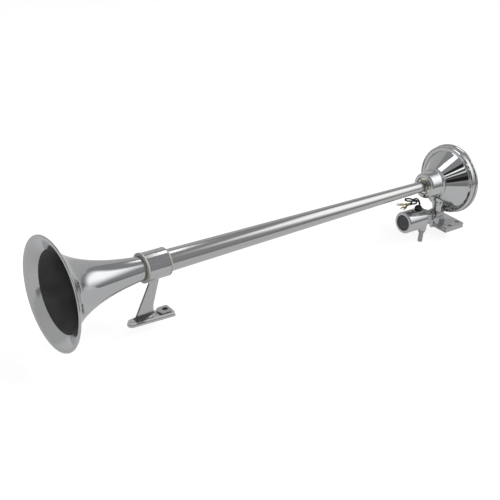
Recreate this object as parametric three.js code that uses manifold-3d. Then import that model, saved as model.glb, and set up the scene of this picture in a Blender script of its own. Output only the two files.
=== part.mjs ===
// Truck air horn: a flared trumpet on a diaphragm housing, blown through an electric air valve.
// Millimetres. The horn lies along X with its bell at the low end, and +Z is up.
// The origin is the middle of the underside of the rear base.
import * as THREE from 'three';
import { mergeVertices } from 'three/addons/utils/BufferGeometryUtils.js';
import Module from 'manifold-3d';

const wasm = await Module();
wasm.setup();

// Horn as a whole
const hornLength = 632; // bell mouth to the seam behind the housing
const axisHeight = 73.5; // horn axis above the surface it is bolted to

// Clearances
const clampGap = 0.05; // between flat faces that are screwed together
const fitGap = 0.15; // a piece in its own socket, on the radius
const runGap = 0.25; // a turning or sliding piece, on the radius
const seatGap = 0.3; // between a piece and the face it rests on
const overrun = 3; // how far a cutter runs past a face
const weldDistance = 0.0005;

// Facets round each kind of piece
const bellSides = 48;
const tubeSides = 32;
const housingSides = 48;
const coverSides = 40;
const valveSides = 24;
const smallSides = 16;
const screwSides = 10;
const holeSides = 8;
const curveSteps = 4;

// Bell
const mouthRadius = 66;
const bellWall = 1.2;
const bellFlareLength = 113;
const bellTailLength = 11;
const bellTailRadius = 14.1;
const slowFlareLength = 52;
const fastFlareLength = 9;
const fastFlareShare = 0.212;
const rimBeadRadius = 1;
const flareStartDepth = 1.8;
const flareSpacing = 1.7; // exponent: crowds the stations at the mouth
const flarePoints = 10;
const beadPoints = 5;
const beadStartDegrees = -55;
const beadEndDegrees = 230;

// Trumpet tube
const tubeWall = 0.9;
const tubeFrontRadius = 13.75;
const tubeTailRadius = 7.55;
const spigotLength = 10.5;
const tubeTailExposed = 3; // parallel tail that shows ahead of the nose

// Front bracket: collar, strut and foot
const bushSetback = 0.3; // rear end of the bell's flare to the face of the front bush
const collarLength = 29;
const collarRadius = 17.2;
const collarWall = 1.9;
const collarChamfer = 0.4;
const strutThickness = 2.8;
const strutTopFront = 5; // along X behind the collar's front edge
const strutTopRear = 23.3;
const strutNeckFront = 8.9;
const strutNeckDrop = 23.2; // below the horn axis
const strutRootAhead = 7.2;
const strutRootHeight = 11; // above the base
const strutWaist = 15.2;
const strutWaistHeight = 20.5;
const filletAhead = 9.2;
const filletBehind = 22;
const filletHeight = 9.5;
const spreadHalfWidth = 5.2; // of the root where it is widest on the foot
const spreadFront = 1.2; // behind the front end of the fillet
const spreadRear = 9;
const spreadEnd = 17.5; // behind the collar's front edge, where only the blade is left
const footNoseAhead = 18.7;
const footLength = 60.9;
const footNoseHalfWidth = 5.6;
const footNoseLength = 7;
const footNoseShare = 0.62; // how far out the nose's curve leaves the middle
const footTailHalfWidth = 9;
const footCornerRadius = 1.4;
const footLowerHeight = 3.2;
const footUpperHeight = 3.2;
const footStep = 0.7;
const padHalfWidth = 6.9;
const padLength = 16.4;
const padSetback = 3.4; // foot's rear end to the pad's rear end
const padHeight = 2.5; // above the foot's upper face
const padFrontRadius = 4.6;
const padRearRadius = 1.4;
const slotLength = 7.4;
const slotWidth = 5.2;
const slotSetback = 10.1; // foot's rear end to the slot's middle

// Nylon bushes in the collar
const frontBushRadius = 18.1;
const frontBushFlange = 2.2;
const frontBushSleeve = 8.4;
const rearBushRadius = 17.2;
const rearBushFlange = 1.6;
const rearBushSleeve = 11.5;
const bushEdge = 0.6;

// Diaphragm housing: nose, hub, cone and flange, as distances ahead of the seam
const noseAhead = 52.8;
const noseRadius = 15.8;
const noseEdge = 2.8;
const noseEdgeShare = 0.62; // of the step up to the hub, at the edge's first third
const hubRadius = 18.2;
const hubRearRadius = 19;
const hubRearAhead = 34;
const beadRingRadius = 21.8;
const beadRingAhead = 31.5;
const beadRingLength = 2;
const coneFrontRadius = 21.2;
const coneFrontAhead = 28.6;
const coneRearRadius = 41;
const flangeAhead = 4.4;
const flangeBandRadius = 45.6;
const flangeBeadHeight = 1.3;
const flangeRadius = 48.6;
const flangeEdge = 1.2;
const coneWall = 3.2;
const chamberFrontAhead = 25;
const chamberMouthRadius = 37.5;
const bossRadius = 12;
const nutBoreRadius = 12.4;
const nutBoreDepth = 8.8;
const sealBoreDepth = 3.4;
const tubeSocketDepth = 19.5;
const throatRadius = 5.4;

// Rear base: plate, middle web, rib behind it, air column and inlet boss
const plateLength = 39.6;
const plateHalfWidth = 23.9;
const plateThickness = 6.5;
const plateAhead = 15; // front edge ahead of the seam
const plateCornerRadius = 3;
const plateScallop = 3.4; // depth of the hollows in its upper front edge
const webThickness = 5;
const webAhead = 21.5;
const webShoulderHeight = 13.5; // front edge is upright below this
const webBehind = 12;
const webCoverClearance = 2;
const ribHalfWidth = 7.3;
const ribFrontAhead = 8;
const ribShoulderAhead = 1;
const ribFrontRise = 6; // above the plate
const ribRearRise = 2.4;
const ribBehind = 18.5;
const columnRadius = 6.8;
const columnAhead = 14;
const columnWaistRise = 8.6; // above the valve axis
const columnFlareDrop = 27;
const columnFlareRadius = 13;
const columnTopDrop = 21;
const inletRadius = 7.8;
const inletFaceAhead = 21;
const inletRearAhead = 1.5;
const inletEdge = 0.8;
const rearHolePlace = [18, 15.1]; // behind the seam and out from the middle
const frontHolePlace = [-1.3, 18.4];
const boltHoleRadius = 3.2;
const passageRadius = 3.2;
const passageAhead = 13.5;

// Nut, seal and nozzle that hold the trumpet in the nose
const lockNutLength = 7;
const lockNutRecess = 1.4;
const lockNutChamfer = 1;
const lockNutSlots = 4;
const lockNutSlotWidth = 3;
const lockNutSlotDepth = 2.2;
const tubeRingRadius = 10.6;
const nozzleRadius = 8.8;
const nozzleInset = 4;
const nozzleLip = 1.2;

// Diaphragm, gaskets, back cover and screws
const gasketThickness = 0.8;
const gasketInset = 0.6;
const diaphragmThickness = 0.5;
const diaphragmPadRadius = 14;
const diaphragmPadThickness = 1;
const coverRadius = 49.8;
const coverRim = 4.3;
const coverEdge = 0.9;
const coverStepRadius = 40;
const coverStepRise = 2.6;
const coverDomeRise = 3.4;
const coverCrownRadius = 18;
const coverWall = 2.8;
const screwCount = 6;
const screwCircleRadius = 43.7;
const screwRadius = 2;
const screwHoleRadius = 2.3;
const screwHeadRadius = 3.5;
const screwHeadHeight = 2.4;
const screwDepth = 3.4; // thread length in the flange
const screwHoleSpare = 0.5;

// Air valve
const valveHeight = 22.9; // valve axis above the base
const caseRadius = 15.7;
const caseWall = 1.2;
const caseLength = 34.8;
const caseLipThickness = 2;
const caseLipChamfer = 1.3;
const capRadius = 11.2;
const capThickness = 2.6;
const capRecess = 0.9;
const leadHoleRadius = 4;
const leadHoleSetback = 6.5; // from the rear edge of the case
const valveBodyLength = 15;
const valveFlangeLength = 3;
const valveBodyRadius = 9.6;
const valveBodyEdge = 1.2;
const valveStandoff = 12.5; // between the valve body and the housing's inlet
const valveChamberRadius = 6.8;
const valveChamberDepth = 8.5;
const seatRadius = 3.4;
const seatBoreRadius = 2.2;
const seatSetback = 3.1; // seat behind the front of the valve body
const inletBossRadius = 6.2;
const inletBossDrop = 21.4;
const inletBossEdge = 1;
const inletAhead = 6.5; // inlet axis ahead of the rear of the valve body
const inletBoreRadius = 2.2;
const nippleRadius = 3.4;
const nippleBoreRadius = 2;
const nippleDrop = 40.2;
const nippleEmbed = 9;
const nippleEdge = 0.5;
const ferruleTopRadius = 5.2;
const ferruleTailRadius = 3.9;
const ferruleLength = 4.4;
const outletRadius = 4.9;
const outletBoreRadius = 2.9;
const outletValveDepth = 5;
const outletHousingDepth = 4;
const outletNutFlats = 13;
const outletNutEdge = 0.6;
const outletNutLength = 3.6;
const outletRingRadius = 6.6;
const outletRingThickness = 2.4;

// Coil, core and plunger inside the case
const bobbinFlangeRadius = 13.6;
const bobbinFlangeThickness = 1.4;
const bobbinCoreWall = 1.1;
const windingRadius = 12.7;
const guideBoreRadius = 5;
const guideWall = 0.4;
const guideFlangeRadius = 6.6;
const guideFlangeThickness = 0.8;
const coreStopLength = 12.8;
const plungerRadius = 4.75;
const plungerTravel = 2.2;
const plungerTail = 1.5; // between the plunger's rear face and the seat
const springPocketRadius = 3.1;
const springPocketDepth = 8;
const springWireRadius = 0.35;
const springCoilRadius = 2.35;
const springTurns = 7;
const springStepsPerTurn = 8;
const springWireSides = 5;
const sealPocketRadius = 3.5;
const sealRadius = 3.3;
const sealInset = 1.6;

// Leads, on the valve's own axes
const grommetStemDepth = 1.6;
const grommetRadius = 5.6;
const grommetHeight = 4.6;
const grommetCrownShare = 0.62;
const leadRadius = 1.1;
const leadSides = 8;
const leadSteps = [36, 16];
const sleeveRadius = 1.6;
const sleeveLength = 4.6;
const terminalThickness = 0.8;
const terminalBladeWidth = 6.2;
const terminalBladeLength = 9.5;
const terminalSlotWidth = 2.8;
const terminalSlotDepth = 5.6;
const terminalBarrelWidth = 2.8;
const terminalBarrelLength = 9.5;
const leadRoutes = [
  [
    [-55.2, -1.5, 20.9],
    [-55.4, -1.6, 24.2],
    [-57.5, -0.4, 27.6],
    [-63.5, 4.2, 30],
    [-70.5, 9, 31.4],
    [-73.4, 11, 30],
    [-71.2, 10, 28],
    [-65.5, 6.8, 27.3],
    [-60.3, 4.2, 27],
    [-57.4, 3.2, 25.4],
    [-57.6, 3.4, 23.5],
    [-59.6, 4.4, 22.8],
    [-62.6, 5.6, 22.8],
  ],
  [
    [-52.4, 1.5, 20.9],
    [-51.4, 3.2, 24.4],
    [-51.2, 8, 27],
    [-51.8, 12.6, 25],
    [-54.2, 14.1, 20.8],
    [-57.4, 13.3, 19.6],
    [-60.7, 12.3, 19.6],
  ],
];

// Stations and sizes that follow from the values above
const mouthX = -hornLength;
const bellTailX = mouthX + bellFlareLength + bellTailLength;
const noseX = -noseAhead;
const socketRadius = bellTailRadius - bellWall;
const tubeEndX = noseX + nutBoreDepth + sealBoreDepth + tubeSocketDepth;
const bushX = mouthX + bellFlareLength + bushSetback;
const collarX = bushX + frontBushFlange + clampGap;
const collarBoreRadius = collarRadius - collarWall;
const tubeTaper = (tubeFrontRadius - tubeTailRadius) / (noseX - tubeTailExposed - bellTailX);
const tubeRadiusAt = (x) => tubeFrontRadius - tubeTaper * (x - bellTailX);
const gasketX = clampGap;
const diaphragmX = gasketX + gasketThickness + clampGap;
const rearGasketX = diaphragmX + diaphragmThickness + clampGap;
const coverX = rearGasketX + gasketThickness + clampGap;
const inletFaceX = -inletFaceAhead;
const valveRearX = inletFaceX - valveStandoff;
const valveFrontX = valveRearX - valveBodyLength;
const caseRearX = valveFrontX - clampGap;
const caseX = caseRearX - caseLength;
const capX = caseX + capRecess;
const coilX = capX + capThickness + clampGap;
const seatX = valveFrontX + seatSetback;
const plungerRearX = seatX - plungerTail;
const coreStopRearX = coilX + coreStopLength;
const plungerFrontX = coreStopRearX + plungerTravel + clampGap;
const inletX = valveRearX - inletAhead;
const valveDrop = axisHeight - valveHeight;
const columnWaistDrop = valveDrop - columnWaistRise;
const baseMidZ = plateThickness / 2 - axisHeight; // what stands on the plate starts here
const basePlateX = plateLength / 2 - plateAhead;

const finish = {
  chrome: [0xd5d7d9, 0.08, 1],
  satinCast: [0xb4b6b8, 0.35, 1],
  steel: [0xc2c0bb, 0.25, 1],
  nylon: [0xd9d3c3, 0.55, 0],
  brass: [0xc9a85a, 0.3, 1],
  nickel: [0xb9b09c, 0.3, 1],
  rubber: [0x1b1b1c, 0.8, 0],
  capPlastic: [0x3a3b3d, 0.6, 0],
  bobbinPlastic: [0xe4dfd0, 0.5, 0],
  copper: [0xb06a3c, 0.35, 1],
  cork: [0x6b5a45, 0.9, 0],
};

// Takes a geometry to its bare closed surface: shared corners, no slivers, faces outward
function closedSurface(geometry) {
  const bare = geometry.clone();
  for (const name of Object.keys(bare.attributes)) {
    if (name !== 'position') bare.deleteAttribute(name);
  }
  const welded = mergeVertices(bare, weldDistance);
  const corners = welded.index.array;
  const kept = [];
  for (let i = 0; i < corners.length; i += 3) {
    const [a, b, c] = [corners[i], corners[i + 1], corners[i + 2]];
    if (a !== b && b !== c && c !== a) kept.push(a, b, c);
  }
  if (signedVolume(welded.attributes.position, kept) < 0) {
    for (let i = 0; i < kept.length; i += 3) {
      [kept[i + 1], kept[i + 2]] = [kept[i + 2], kept[i + 1]];
    }
  }
  welded.setIndex(kept);
  return welded;
}

function signedVolume(position, corners) {
  const [a, b, c] = [new THREE.Vector3(), new THREE.Vector3(), new THREE.Vector3()];
  let total = 0;
  for (let i = 0; i < corners.length; i += 3) {
    a.fromBufferAttribute(position, corners[i]);
    b.fromBufferAttribute(position, corners[i + 1]);
    c.fromBufferAttribute(position, corners[i + 2]);
    total += a.dot(b.cross(c));
  }
  return total;
}

function toSolid(geometry) {
  const surface = closedSurface(geometry);
  return new wasm.Manifold(new wasm.Mesh({
    numProp: 3,
    vertProperties: new Float32Array(surface.attributes.position.array),
    triVerts: new Uint32Array(surface.index.array),
  }));
}

function toGeometry(solid) {
  const { vertProperties, triVerts, numProp } = solid.getMesh();
  const places = [];
  for (let i = 0; i < vertProperties.length; i += numProp) {
    places.push(vertProperties[i], vertProperties[i + 1], vertProperties[i + 2]);
  }
  const geometry = new THREE.BufferGeometry();
  geometry.setAttribute('position', new THREE.Float32BufferAttribute(places, 3));
  geometry.setIndex(Array.from(triVerts));
  return geometry;
}

// Joins the first list of geometries and cuts the second list from the result
function carve(joined, cutters = []) {
  let solid = toSolid(joined[0]);
  for (const piece of joined.slice(1)) solid = solid.add(toSolid(piece));
  for (const cutter of cutters) solid = solid.subtract(toSolid(cutter));
  return toGeometry(solid);
}

function common(...geometries) {
  const solids = geometries.map(toSolid);
  return toGeometry(solids.reduce((whole, next) => whole.intersect(next)));
}

// Revolves an outline of [station, radius] points round the X axis
function revolve(outline, sides) {
  const onAxis = outline[0][1] === 0 && outline.at(-1)[1] === 0;
  const loop = onAxis ? outline : [...outline, outline[0]];
  const points = loop.map(([x, r]) => new THREE.Vector2(r, x));
  return new THREE.LatheGeometry(points, sides).rotateZ(-Math.PI / 2);
}

function ring(x0, x1, inner, outer, sides) {
  return revolve([[x0, inner], [x0, outer], [x1, outer], [x1, inner]], sides);
}

function rod(x0, x1, radius, sides) {
  return revolve([[x0, 0], [x0, radius], [x1, radius], [x1, 0]], sides);
}

// Turns a shape made along X so that its stations run up Z
const upright = (geometry) => geometry.rotateY(-Math.PI / 2);

function box(x0, x1, y0, y1, z0, z1) {
  const geometry = new THREE.BoxGeometry(x1 - x0, y1 - y0, z1 - z0);
  return geometry.translate((x0 + x1) / 2, (y0 + y1) / 2, (z0 + z1) / 2);
}

const extrusion = (depth) => ({ depth, bevelEnabled: false, curveSegments: curveSteps });

// Extrudes an X-Z outline to both sides of the middle plane
function sidePrism(shape, halfWidth) {
  const geometry = new THREE.ExtrudeGeometry(shape, extrusion(2 * halfWidth));
  return geometry.rotateX(Math.PI / 2).translate(0, halfWidth, 0);
}

// Extrudes a Y-Z outline along X
function crossPrism(shape, x0, x1) {
  const geometry = new THREE.ExtrudeGeometry(shape, extrusion(x1 - x0));
  const turn = new THREE.Matrix4().makeBasis(
    new THREE.Vector3(0, 1, 0),
    new THREE.Vector3(0, 0, 1),
    new THREE.Vector3(1, 0, 0),
  );
  return geometry.applyMatrix4(turn).translate(x0, 0, 0);
}

// Extrudes an X-Y outline upward
function planPrism(shape, z0, z1) {
  return new THREE.ExtrudeGeometry(shape, extrusion(z1 - z0)).translate(0, 0, z0);
}

function piece(name, geometry, [color, roughness, metalness]) {
  const material = new THREE.MeshStandardMaterial({ color, roughness, metalness });
  const mesh = new THREE.Mesh(closedSurface(geometry), material);
  mesh.name = name;
  return mesh;
}

// Outer flare of the bell at a depth behind its mouth, and its slope there
function flareAt(depth) {
  const shape = (d) => (1 - fastFlareShare) * Math.exp(-d / slowFlareLength)
    + fastFlareShare * Math.exp(-d / fastFlareLength);
  const tailShape = shape(bellFlareLength);
  const core = (bellTailRadius - mouthRadius * tailShape) / (1 - tailShape);
  const slope = -(mouthRadius - core) * ((1 - fastFlareShare) / slowFlareLength
    * Math.exp(-depth / slowFlareLength)
    + fastFlareShare / fastFlareLength * Math.exp(-depth / fastFlareLength));
  return { radius: core + (mouthRadius - core) * shape(depth), slope };
}

function bellOutline() {
  const outside = [];
  const inside = [];
  for (let i = 0; i < flarePoints; i += 1) {
    const share = (i / (flarePoints - 1)) ** flareSpacing;
    const depth = flareStartDepth + share * (bellFlareLength - flareStartDepth);
    const { radius, slope } = flareAt(depth);
    const stretch = Math.hypot(1, slope);
    outside.push([mouthX + depth, radius]);
    inside.push([mouthX + depth + bellWall * slope / stretch, radius - bellWall / stretch]);
  }
  const bead = [];
  for (let i = 0; i < beadPoints; i += 1) {
    const share = i / (beadPoints - 1);
    const degrees = beadStartDegrees + share * (beadEndDegrees - beadStartDegrees);
    const angle = THREE.MathUtils.degToRad(degrees);
    bead.push([
      mouthX + rimBeadRadius * (1 + Math.cos(angle)),
      mouthRadius - rimBeadRadius * (1 - Math.sin(angle)),
    ]);
  }
  return [
    ...inside,
    [bellTailX, socketRadius],
    [bellTailX, bellTailRadius],
    ...outside.reverse(),
    ...bead,
  ];
}

function makeBell() {
  return piece('bell', revolve(bellOutline(), bellSides), finish.chrome);
}

// The tube's swaged spigot sits in the bell's tail, and its parallel tail in the nose
function makeTube() {
  const spigotRadius = socketRadius - fitGap;
  const spigotX = bellTailX - spigotLength;
  const shoulderX = bellTailX + seatGap;
  const outline = [
    [spigotX, spigotRadius - tubeWall],
    [spigotX, spigotRadius],
    [shoulderX, spigotRadius],
    [shoulderX, tubeFrontRadius],
    [noseX - tubeTailExposed, tubeTailRadius],
    [tubeEndX - seatGap, tubeTailRadius],
    [tubeEndX - seatGap, tubeTailRadius - tubeWall],
    [noseX - tubeTailExposed, tubeTailRadius - tubeWall],
    [shoulderX + tubeWall, tubeFrontRadius - tubeWall],
    [shoulderX, spigotRadius - tubeWall],
  ];
  return piece('trumpet_tube', revolve(outline, tubeSides), finish.steel);
}

function makeFrontBush() {
  const inner = bellTailRadius + runGap;
  const sleeveOuter = collarBoreRadius - fitGap;
  const backX = bushX + frontBushFlange;
  const outline = [
    [bushX, inner],
    [bushX, frontBushRadius - bushEdge],
    [bushX + bushEdge, frontBushRadius],
    [backX - bushEdge, frontBushRadius],
    [backX, frontBushRadius - bushEdge],
    [backX, sleeveOuter],
    [backX + frontBushSleeve, sleeveOuter],
    [backX + frontBushSleeve, inner],
  ];
  return piece('front_bush', revolve(outline, tubeSides), finish.nylon);
}

function makeRearBush() {
  const frontX = collarX + collarLength + clampGap;
  const sleeveX = frontX - rearBushSleeve;
  const inner = tubeRadiusAt(sleeveX) + runGap;
  const sleeveOuter = collarBoreRadius - fitGap;
  const faceX = frontX + rearBushFlange;
  const outline = [
    [sleeveX, inner],
    [sleeveX, sleeveOuter],
    [frontX, sleeveOuter],
    [frontX, rearBushRadius],
    [faceX - bushEdge, rearBushRadius],
    [faceX, rearBushRadius - bushEdge],
    [faceX, inner],
  ];
  return piece('rear_bush', revolve(outline, tubeSides), finish.nylon);
}

// Plan of the foot: a round nose that widens to a square tail
function footPlan(inset) {
  const nose = collarX - footNoseAhead + inset;
  const tail = collarX - footNoseAhead + footLength - inset;
  const shoulder = nose + footNoseLength;
  const narrow = footNoseHalfWidth - inset;
  const wide = footTailHalfWidth - inset;
  const swell = narrow * footNoseShare;
  const plan = new THREE.Shape();
  plan.moveTo(nose, 0);
  plan.bezierCurveTo(nose, -swell, nose + footNoseLength / 3, -narrow, shoulder, -narrow);
  plan.lineTo(tail - footCornerRadius, -wide);
  plan.quadraticCurveTo(tail, -wide, tail, -wide + footCornerRadius);
  plan.lineTo(tail, wide - footCornerRadius);
  plan.quadraticCurveTo(tail, wide, tail - footCornerRadius, wide);
  plan.lineTo(shoulder, narrow);
  plan.bezierCurveTo(nose + footNoseLength / 3, narrow, nose, swell, nose, 0);
  return plan;
}

// Side view of the strut: raked forward, waisted behind, spreading on the foot
function strutSide(footTopZ) {
  const side = new THREE.Shape();
  side.moveTo(collarX + strutTopFront, -collarBoreRadius);
  side.quadraticCurveTo(
    collarX + strutTopFront + collarChamfer, -collarRadius - collarWall,
    collarX + strutNeckFront, -strutNeckDrop,
  );
  side.lineTo(collarX - strutRootAhead, strutRootHeight - axisHeight);
  side.lineTo(collarX - filletAhead, footTopZ - footStep);
  side.lineTo(collarX + filletBehind, footTopZ - footStep);
  side.quadraticCurveTo(
    collarX + strutWaist, footTopZ,
    collarX + strutWaist, strutWaistHeight - axisHeight,
  );
  side.lineTo(collarX + strutTopRear, -collarBoreRadius);
  return side;
}

// Front view of the strut: a thin blade that flares hollow into the foot
function strutSection(footTopZ) {
  const half = strutThickness / 2;
  const flareZ = footTopZ + filletHeight;
  const section = new THREE.Shape();
  section.moveTo(-half, -collarBoreRadius);
  section.lineTo(-half, flareZ);
  section.quadraticCurveTo(-half, footTopZ, -spreadHalfWidth, footTopZ - footStep);
  section.lineTo(spreadHalfWidth, footTopZ - footStep);
  section.quadraticCurveTo(half, footTopZ, half, flareZ);
  section.lineTo(half, -collarBoreRadius);
  return section;
}

// Plan of the strut's root: it spreads at the front and runs out along the blade
function rootPlan() {
  const half = strutThickness / 2;
  const front = collarX - filletAhead;
  const plan = new THREE.Shape();
  plan.moveTo(front - footStep, -half);
  plan.lineTo(front + spreadFront, -spreadHalfWidth);
  plan.lineTo(collarX + spreadRear, -spreadHalfWidth);
  plan.lineTo(collarX + spreadEnd, -half);
  plan.lineTo(collarX + filletBehind, -half);
  plan.lineTo(collarX + filletBehind, half);
  plan.lineTo(collarX + spreadEnd, half);
  plan.lineTo(collarX + spreadRear, spreadHalfWidth);
  plan.lineTo(front + spreadFront, spreadHalfWidth);
  plan.lineTo(front - footStep, half);
  return plan;
}

// Plan of the raised pad round the slot: rounder at its front
function padPlan(x0, x1) {
  const plan = new THREE.Shape();
  plan.moveTo(x0 + padFrontRadius, -padHalfWidth);
  plan.lineTo(x1 - padRearRadius, -padHalfWidth);
  plan.quadraticCurveTo(x1, -padHalfWidth, x1, padRearRadius - padHalfWidth);
  plan.lineTo(x1, padHalfWidth - padRearRadius);
  plan.quadraticCurveTo(x1, padHalfWidth, x1 - padRearRadius, padHalfWidth);
  plan.lineTo(x0 + padFrontRadius, padHalfWidth);
  plan.quadraticCurveTo(x0, padHalfWidth, x0, padHalfWidth - padFrontRadius);
  plan.lineTo(x0, padFrontRadius - padHalfWidth);
  plan.quadraticCurveTo(x0, -padHalfWidth, x0 + padFrontRadius, -padHalfWidth);
  return plan;
}

function slotPlan(centreX) {
  const reach = (slotLength - slotWidth) / 2;
  const radius = slotWidth / 2;
  const plan = new THREE.Shape();
  plan.absarc(centreX + reach, 0, radius, -Math.PI / 2, Math.PI / 2);
  plan.absarc(centreX - reach, 0, radius, Math.PI / 2, Math.PI * 1.5);
  return plan;
}

function makeFrontBracket() {
  const bottomZ = -axisHeight;
  const stepZ = bottomZ + footLowerHeight;
  const topZ = stepZ + footUpperHeight;
  const tailX = collarX - footNoseAhead + footLength;
  const padRearX = tailX - padSetback;
  const collarEndX = collarX + collarLength;
  const collar = revolve([
    [collarX, 0],
    [collarX, collarRadius - collarChamfer],
    [collarX + collarChamfer, collarRadius],
    [collarEndX - collarChamfer, collarRadius],
    [collarEndX, collarRadius - collarChamfer],
    [collarEndX, 0],
  ], tubeSides);
  const strut = common(
    sidePrism(strutSide(topZ), footTailHalfWidth),
    crossPrism(strutSection(topZ), collarX - footNoseAhead, tailX),
    planPrism(rootPlan(), bottomZ, 0),
  );
  const pad = planPrism(padPlan(padRearX - padLength, padRearX), stepZ, topZ + padHeight);
  const geometry = carve(
    [
      collar,
      strut,
      planPrism(footPlan(0), bottomZ, stepZ),
      planPrism(footPlan(footStep), bottomZ + footLowerHeight / 2, topZ),
      pad,
    ],
    [
      rod(collarX - overrun, collarEndX + overrun, collarBoreRadius, tubeSides),
      planPrism(slotPlan(tailX - slotSetback), bottomZ - overrun, topZ + padHeight + overrun),
    ],
  );
  return piece('front_bracket', geometry, finish.satinCast);
}

function housingSkin() {
  const lip = noseEdge / 3;
  return revolve([
    [noseX, 0],
    [noseX, noseRadius],
    [noseX + lip, noseRadius + (hubRadius - noseRadius) * noseEdgeShare],
    [noseX + noseEdge, hubRadius],
    [-hubRearAhead, hubRearRadius],
    [-beadRingAhead - lip, hubRearRadius + lip / 2],
    [-beadRingAhead, beadRingRadius],
    [beadRingLength - beadRingAhead, beadRingRadius],
    [-coneFrontAhead, coneFrontRadius],
    [-flangeAhead - flangeEdge, coneRearRadius],
    [-flangeAhead, coneRearRadius + flangeEdge],
    [-flangeAhead, flangeBandRadius],
    [-flangeAhead - flangeBeadHeight, flangeBandRadius + flangeEdge],
    [-flangeAhead - flangeBeadHeight, flangeRadius - flangeEdge],
    [-flangeAhead, flangeRadius],
    [0, flangeRadius],
    [0, 0],
  ], housingSides);
}

// The air chamber is a ring round the boss that carries the throat to the diaphragm
function housingCutters() {
  const chamber = revolve([
    [-chamberFrontAhead, bossRadius],
    [-chamberFrontAhead, bossRadius + coneWall],
    [-flangeAhead - flangeEdge, chamberMouthRadius],
    [overrun, chamberMouthRadius],
    [overrun, bossRadius],
  ], housingSides);
  const sealX = noseX + nutBoreDepth;
  const socketX = sealX + sealBoreDepth;
  const bore = revolve([
    [noseX - overrun, 0],
    [noseX - overrun, nutBoreRadius],
    [sealX, nutBoreRadius],
    [sealX, tubeRingRadius + fitGap],
    [socketX, tubeRingRadius + fitGap],
    [socketX, tubeTailRadius + fitGap],
    [tubeEndX, tubeTailRadius + fitGap],
    [tubeEndX, throatRadius],
    [-nozzleInset, throatRadius],
    [-nozzleInset, nozzleRadius + fitGap],
    [overrun, nozzleRadius + fitGap],
    [overrun, 0],
  ], valveSides);
  return [chamber, bore];
}

// Base plate: its upper front edge is hollowed on both sides of the web
function basePlate() {
  const front = -plateAhead;
  const rear = plateLength - plateAhead;
  const bottomZ = -axisHeight;
  const topZ = bottomZ + plateThickness;
  const plan = new THREE.Shape();
  plan.moveTo(front, -plateHalfWidth);
  plan.lineTo(rear - plateCornerRadius, -plateHalfWidth);
  plan.quadraticCurveTo(rear, -plateHalfWidth, rear, plateCornerRadius - plateHalfWidth);
  plan.lineTo(rear, plateHalfWidth - plateCornerRadius);
  plan.quadraticCurveTo(rear, plateHalfWidth, rear - plateCornerRadius, plateHalfWidth);
  plan.lineTo(front, plateHalfWidth);
  const halfSpan = (plateHalfWidth - webThickness / 2) / 2;
  const hollowRadius = (halfSpan ** 2 + plateScallop ** 2) / (2 * plateScallop);
  const hollows = [-1, 1].map((side) => upright(revolve([
    [bottomZ, 0],
    [bottomZ, hollowRadius - plateScallop],
    [topZ, hollowRadius],
    [topZ + overrun, hollowRadius],
    [topZ + overrun, 0],
  ], tubeSides)).translate(
    front + plateScallop - hollowRadius,
    side * (plateHalfWidth - halfSpan),
    0,
  ));
  return carve([planPrism(plan, bottomZ, topZ)], hollows);
}

// Side view of the web that carries the housing on its plate
function webSide() {
  const plateTopZ = plateThickness - axisHeight;
  const webShoulderZ = webShoulderHeight - axisHeight;
  const underCoverZ = -coverRadius - webCoverClearance;
  const side = new THREE.Shape();
  side.moveTo(-webAhead, baseMidZ);
  side.lineTo(webBehind, baseMidZ);
  side.lineTo(webBehind, plateTopZ);
  side.quadraticCurveTo(0, plateTopZ, -clampGap, underCoverZ);
  side.lineTo(-clampGap, -coneRearRadius);
  side.lineTo(-flangeAhead, -coneRearRadius + coneWall);
  side.lineTo(-columnAhead, -columnFlareDrop);
  side.lineTo(-columnAhead, -valveDrop);
  side.lineTo(inletEdge - inletFaceAhead, webShoulderZ + inletEdge);
  side.lineTo(-webAhead, webShoulderZ);
  return side;
}

// Plan of the web: its front edge is round
function webPlan() {
  const half = webThickness / 2;
  const plan = new THREE.Shape();
  plan.moveTo(webBehind, half);
  plan.lineTo(half - webAhead, half);
  plan.absarc(half - webAhead, 0, half, Math.PI / 2, Math.PI * 1.5);
  plan.lineTo(webBehind, -half);
  return plan;
}

// The rib spreads from the web to carry the load back over the plate
function ribSolid() {
  const plateTopZ = plateThickness - axisHeight;
  const half = webThickness / 2;
  const plan = new THREE.Shape();
  plan.moveTo(-ribFrontAhead, -half);
  plan.lineTo(-ribShoulderAhead, -ribHalfWidth);
  plan.lineTo(ribBehind, -ribHalfWidth);
  plan.lineTo(ribBehind, ribHalfWidth);
  plan.lineTo(-ribShoulderAhead, ribHalfWidth);
  plan.lineTo(-ribFrontAhead, half);
  const side = new THREE.Shape();
  side.moveTo(-ribFrontAhead, baseMidZ);
  side.lineTo(ribBehind, baseMidZ);
  side.lineTo(ribBehind, plateTopZ + ribRearRise);
  side.lineTo(-ribShoulderAhead, plateTopZ + ribFrontRise);
  side.lineTo(-ribFrontAhead, plateTopZ + ribFrontRise);
  return common(planPrism(plan, baseMidZ, plateTopZ + ribFrontRise), sidePrism(side, ribHalfWidth));
}

// Air column that rises from the inlet and flares into the cone
function columnSolid() {
  return upright(revolve([
    [-valveDrop, 0],
    [-valveDrop, columnRadius],
    [-columnWaistDrop, columnRadius],
    [-(2 * columnWaistDrop + columnFlareDrop) / 3, columnRadius + (columnFlareRadius - columnRadius) / 6],
    [-(columnWaistDrop + 2 * columnFlareDrop) / 3, (columnRadius + columnFlareRadius) / 2],
    [-columnFlareDrop, columnFlareRadius],
    [-columnTopDrop, columnFlareRadius],
    [-columnTopDrop, 0],
  ], valveSides)).translate(-columnAhead, 0, 0);
}

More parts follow.
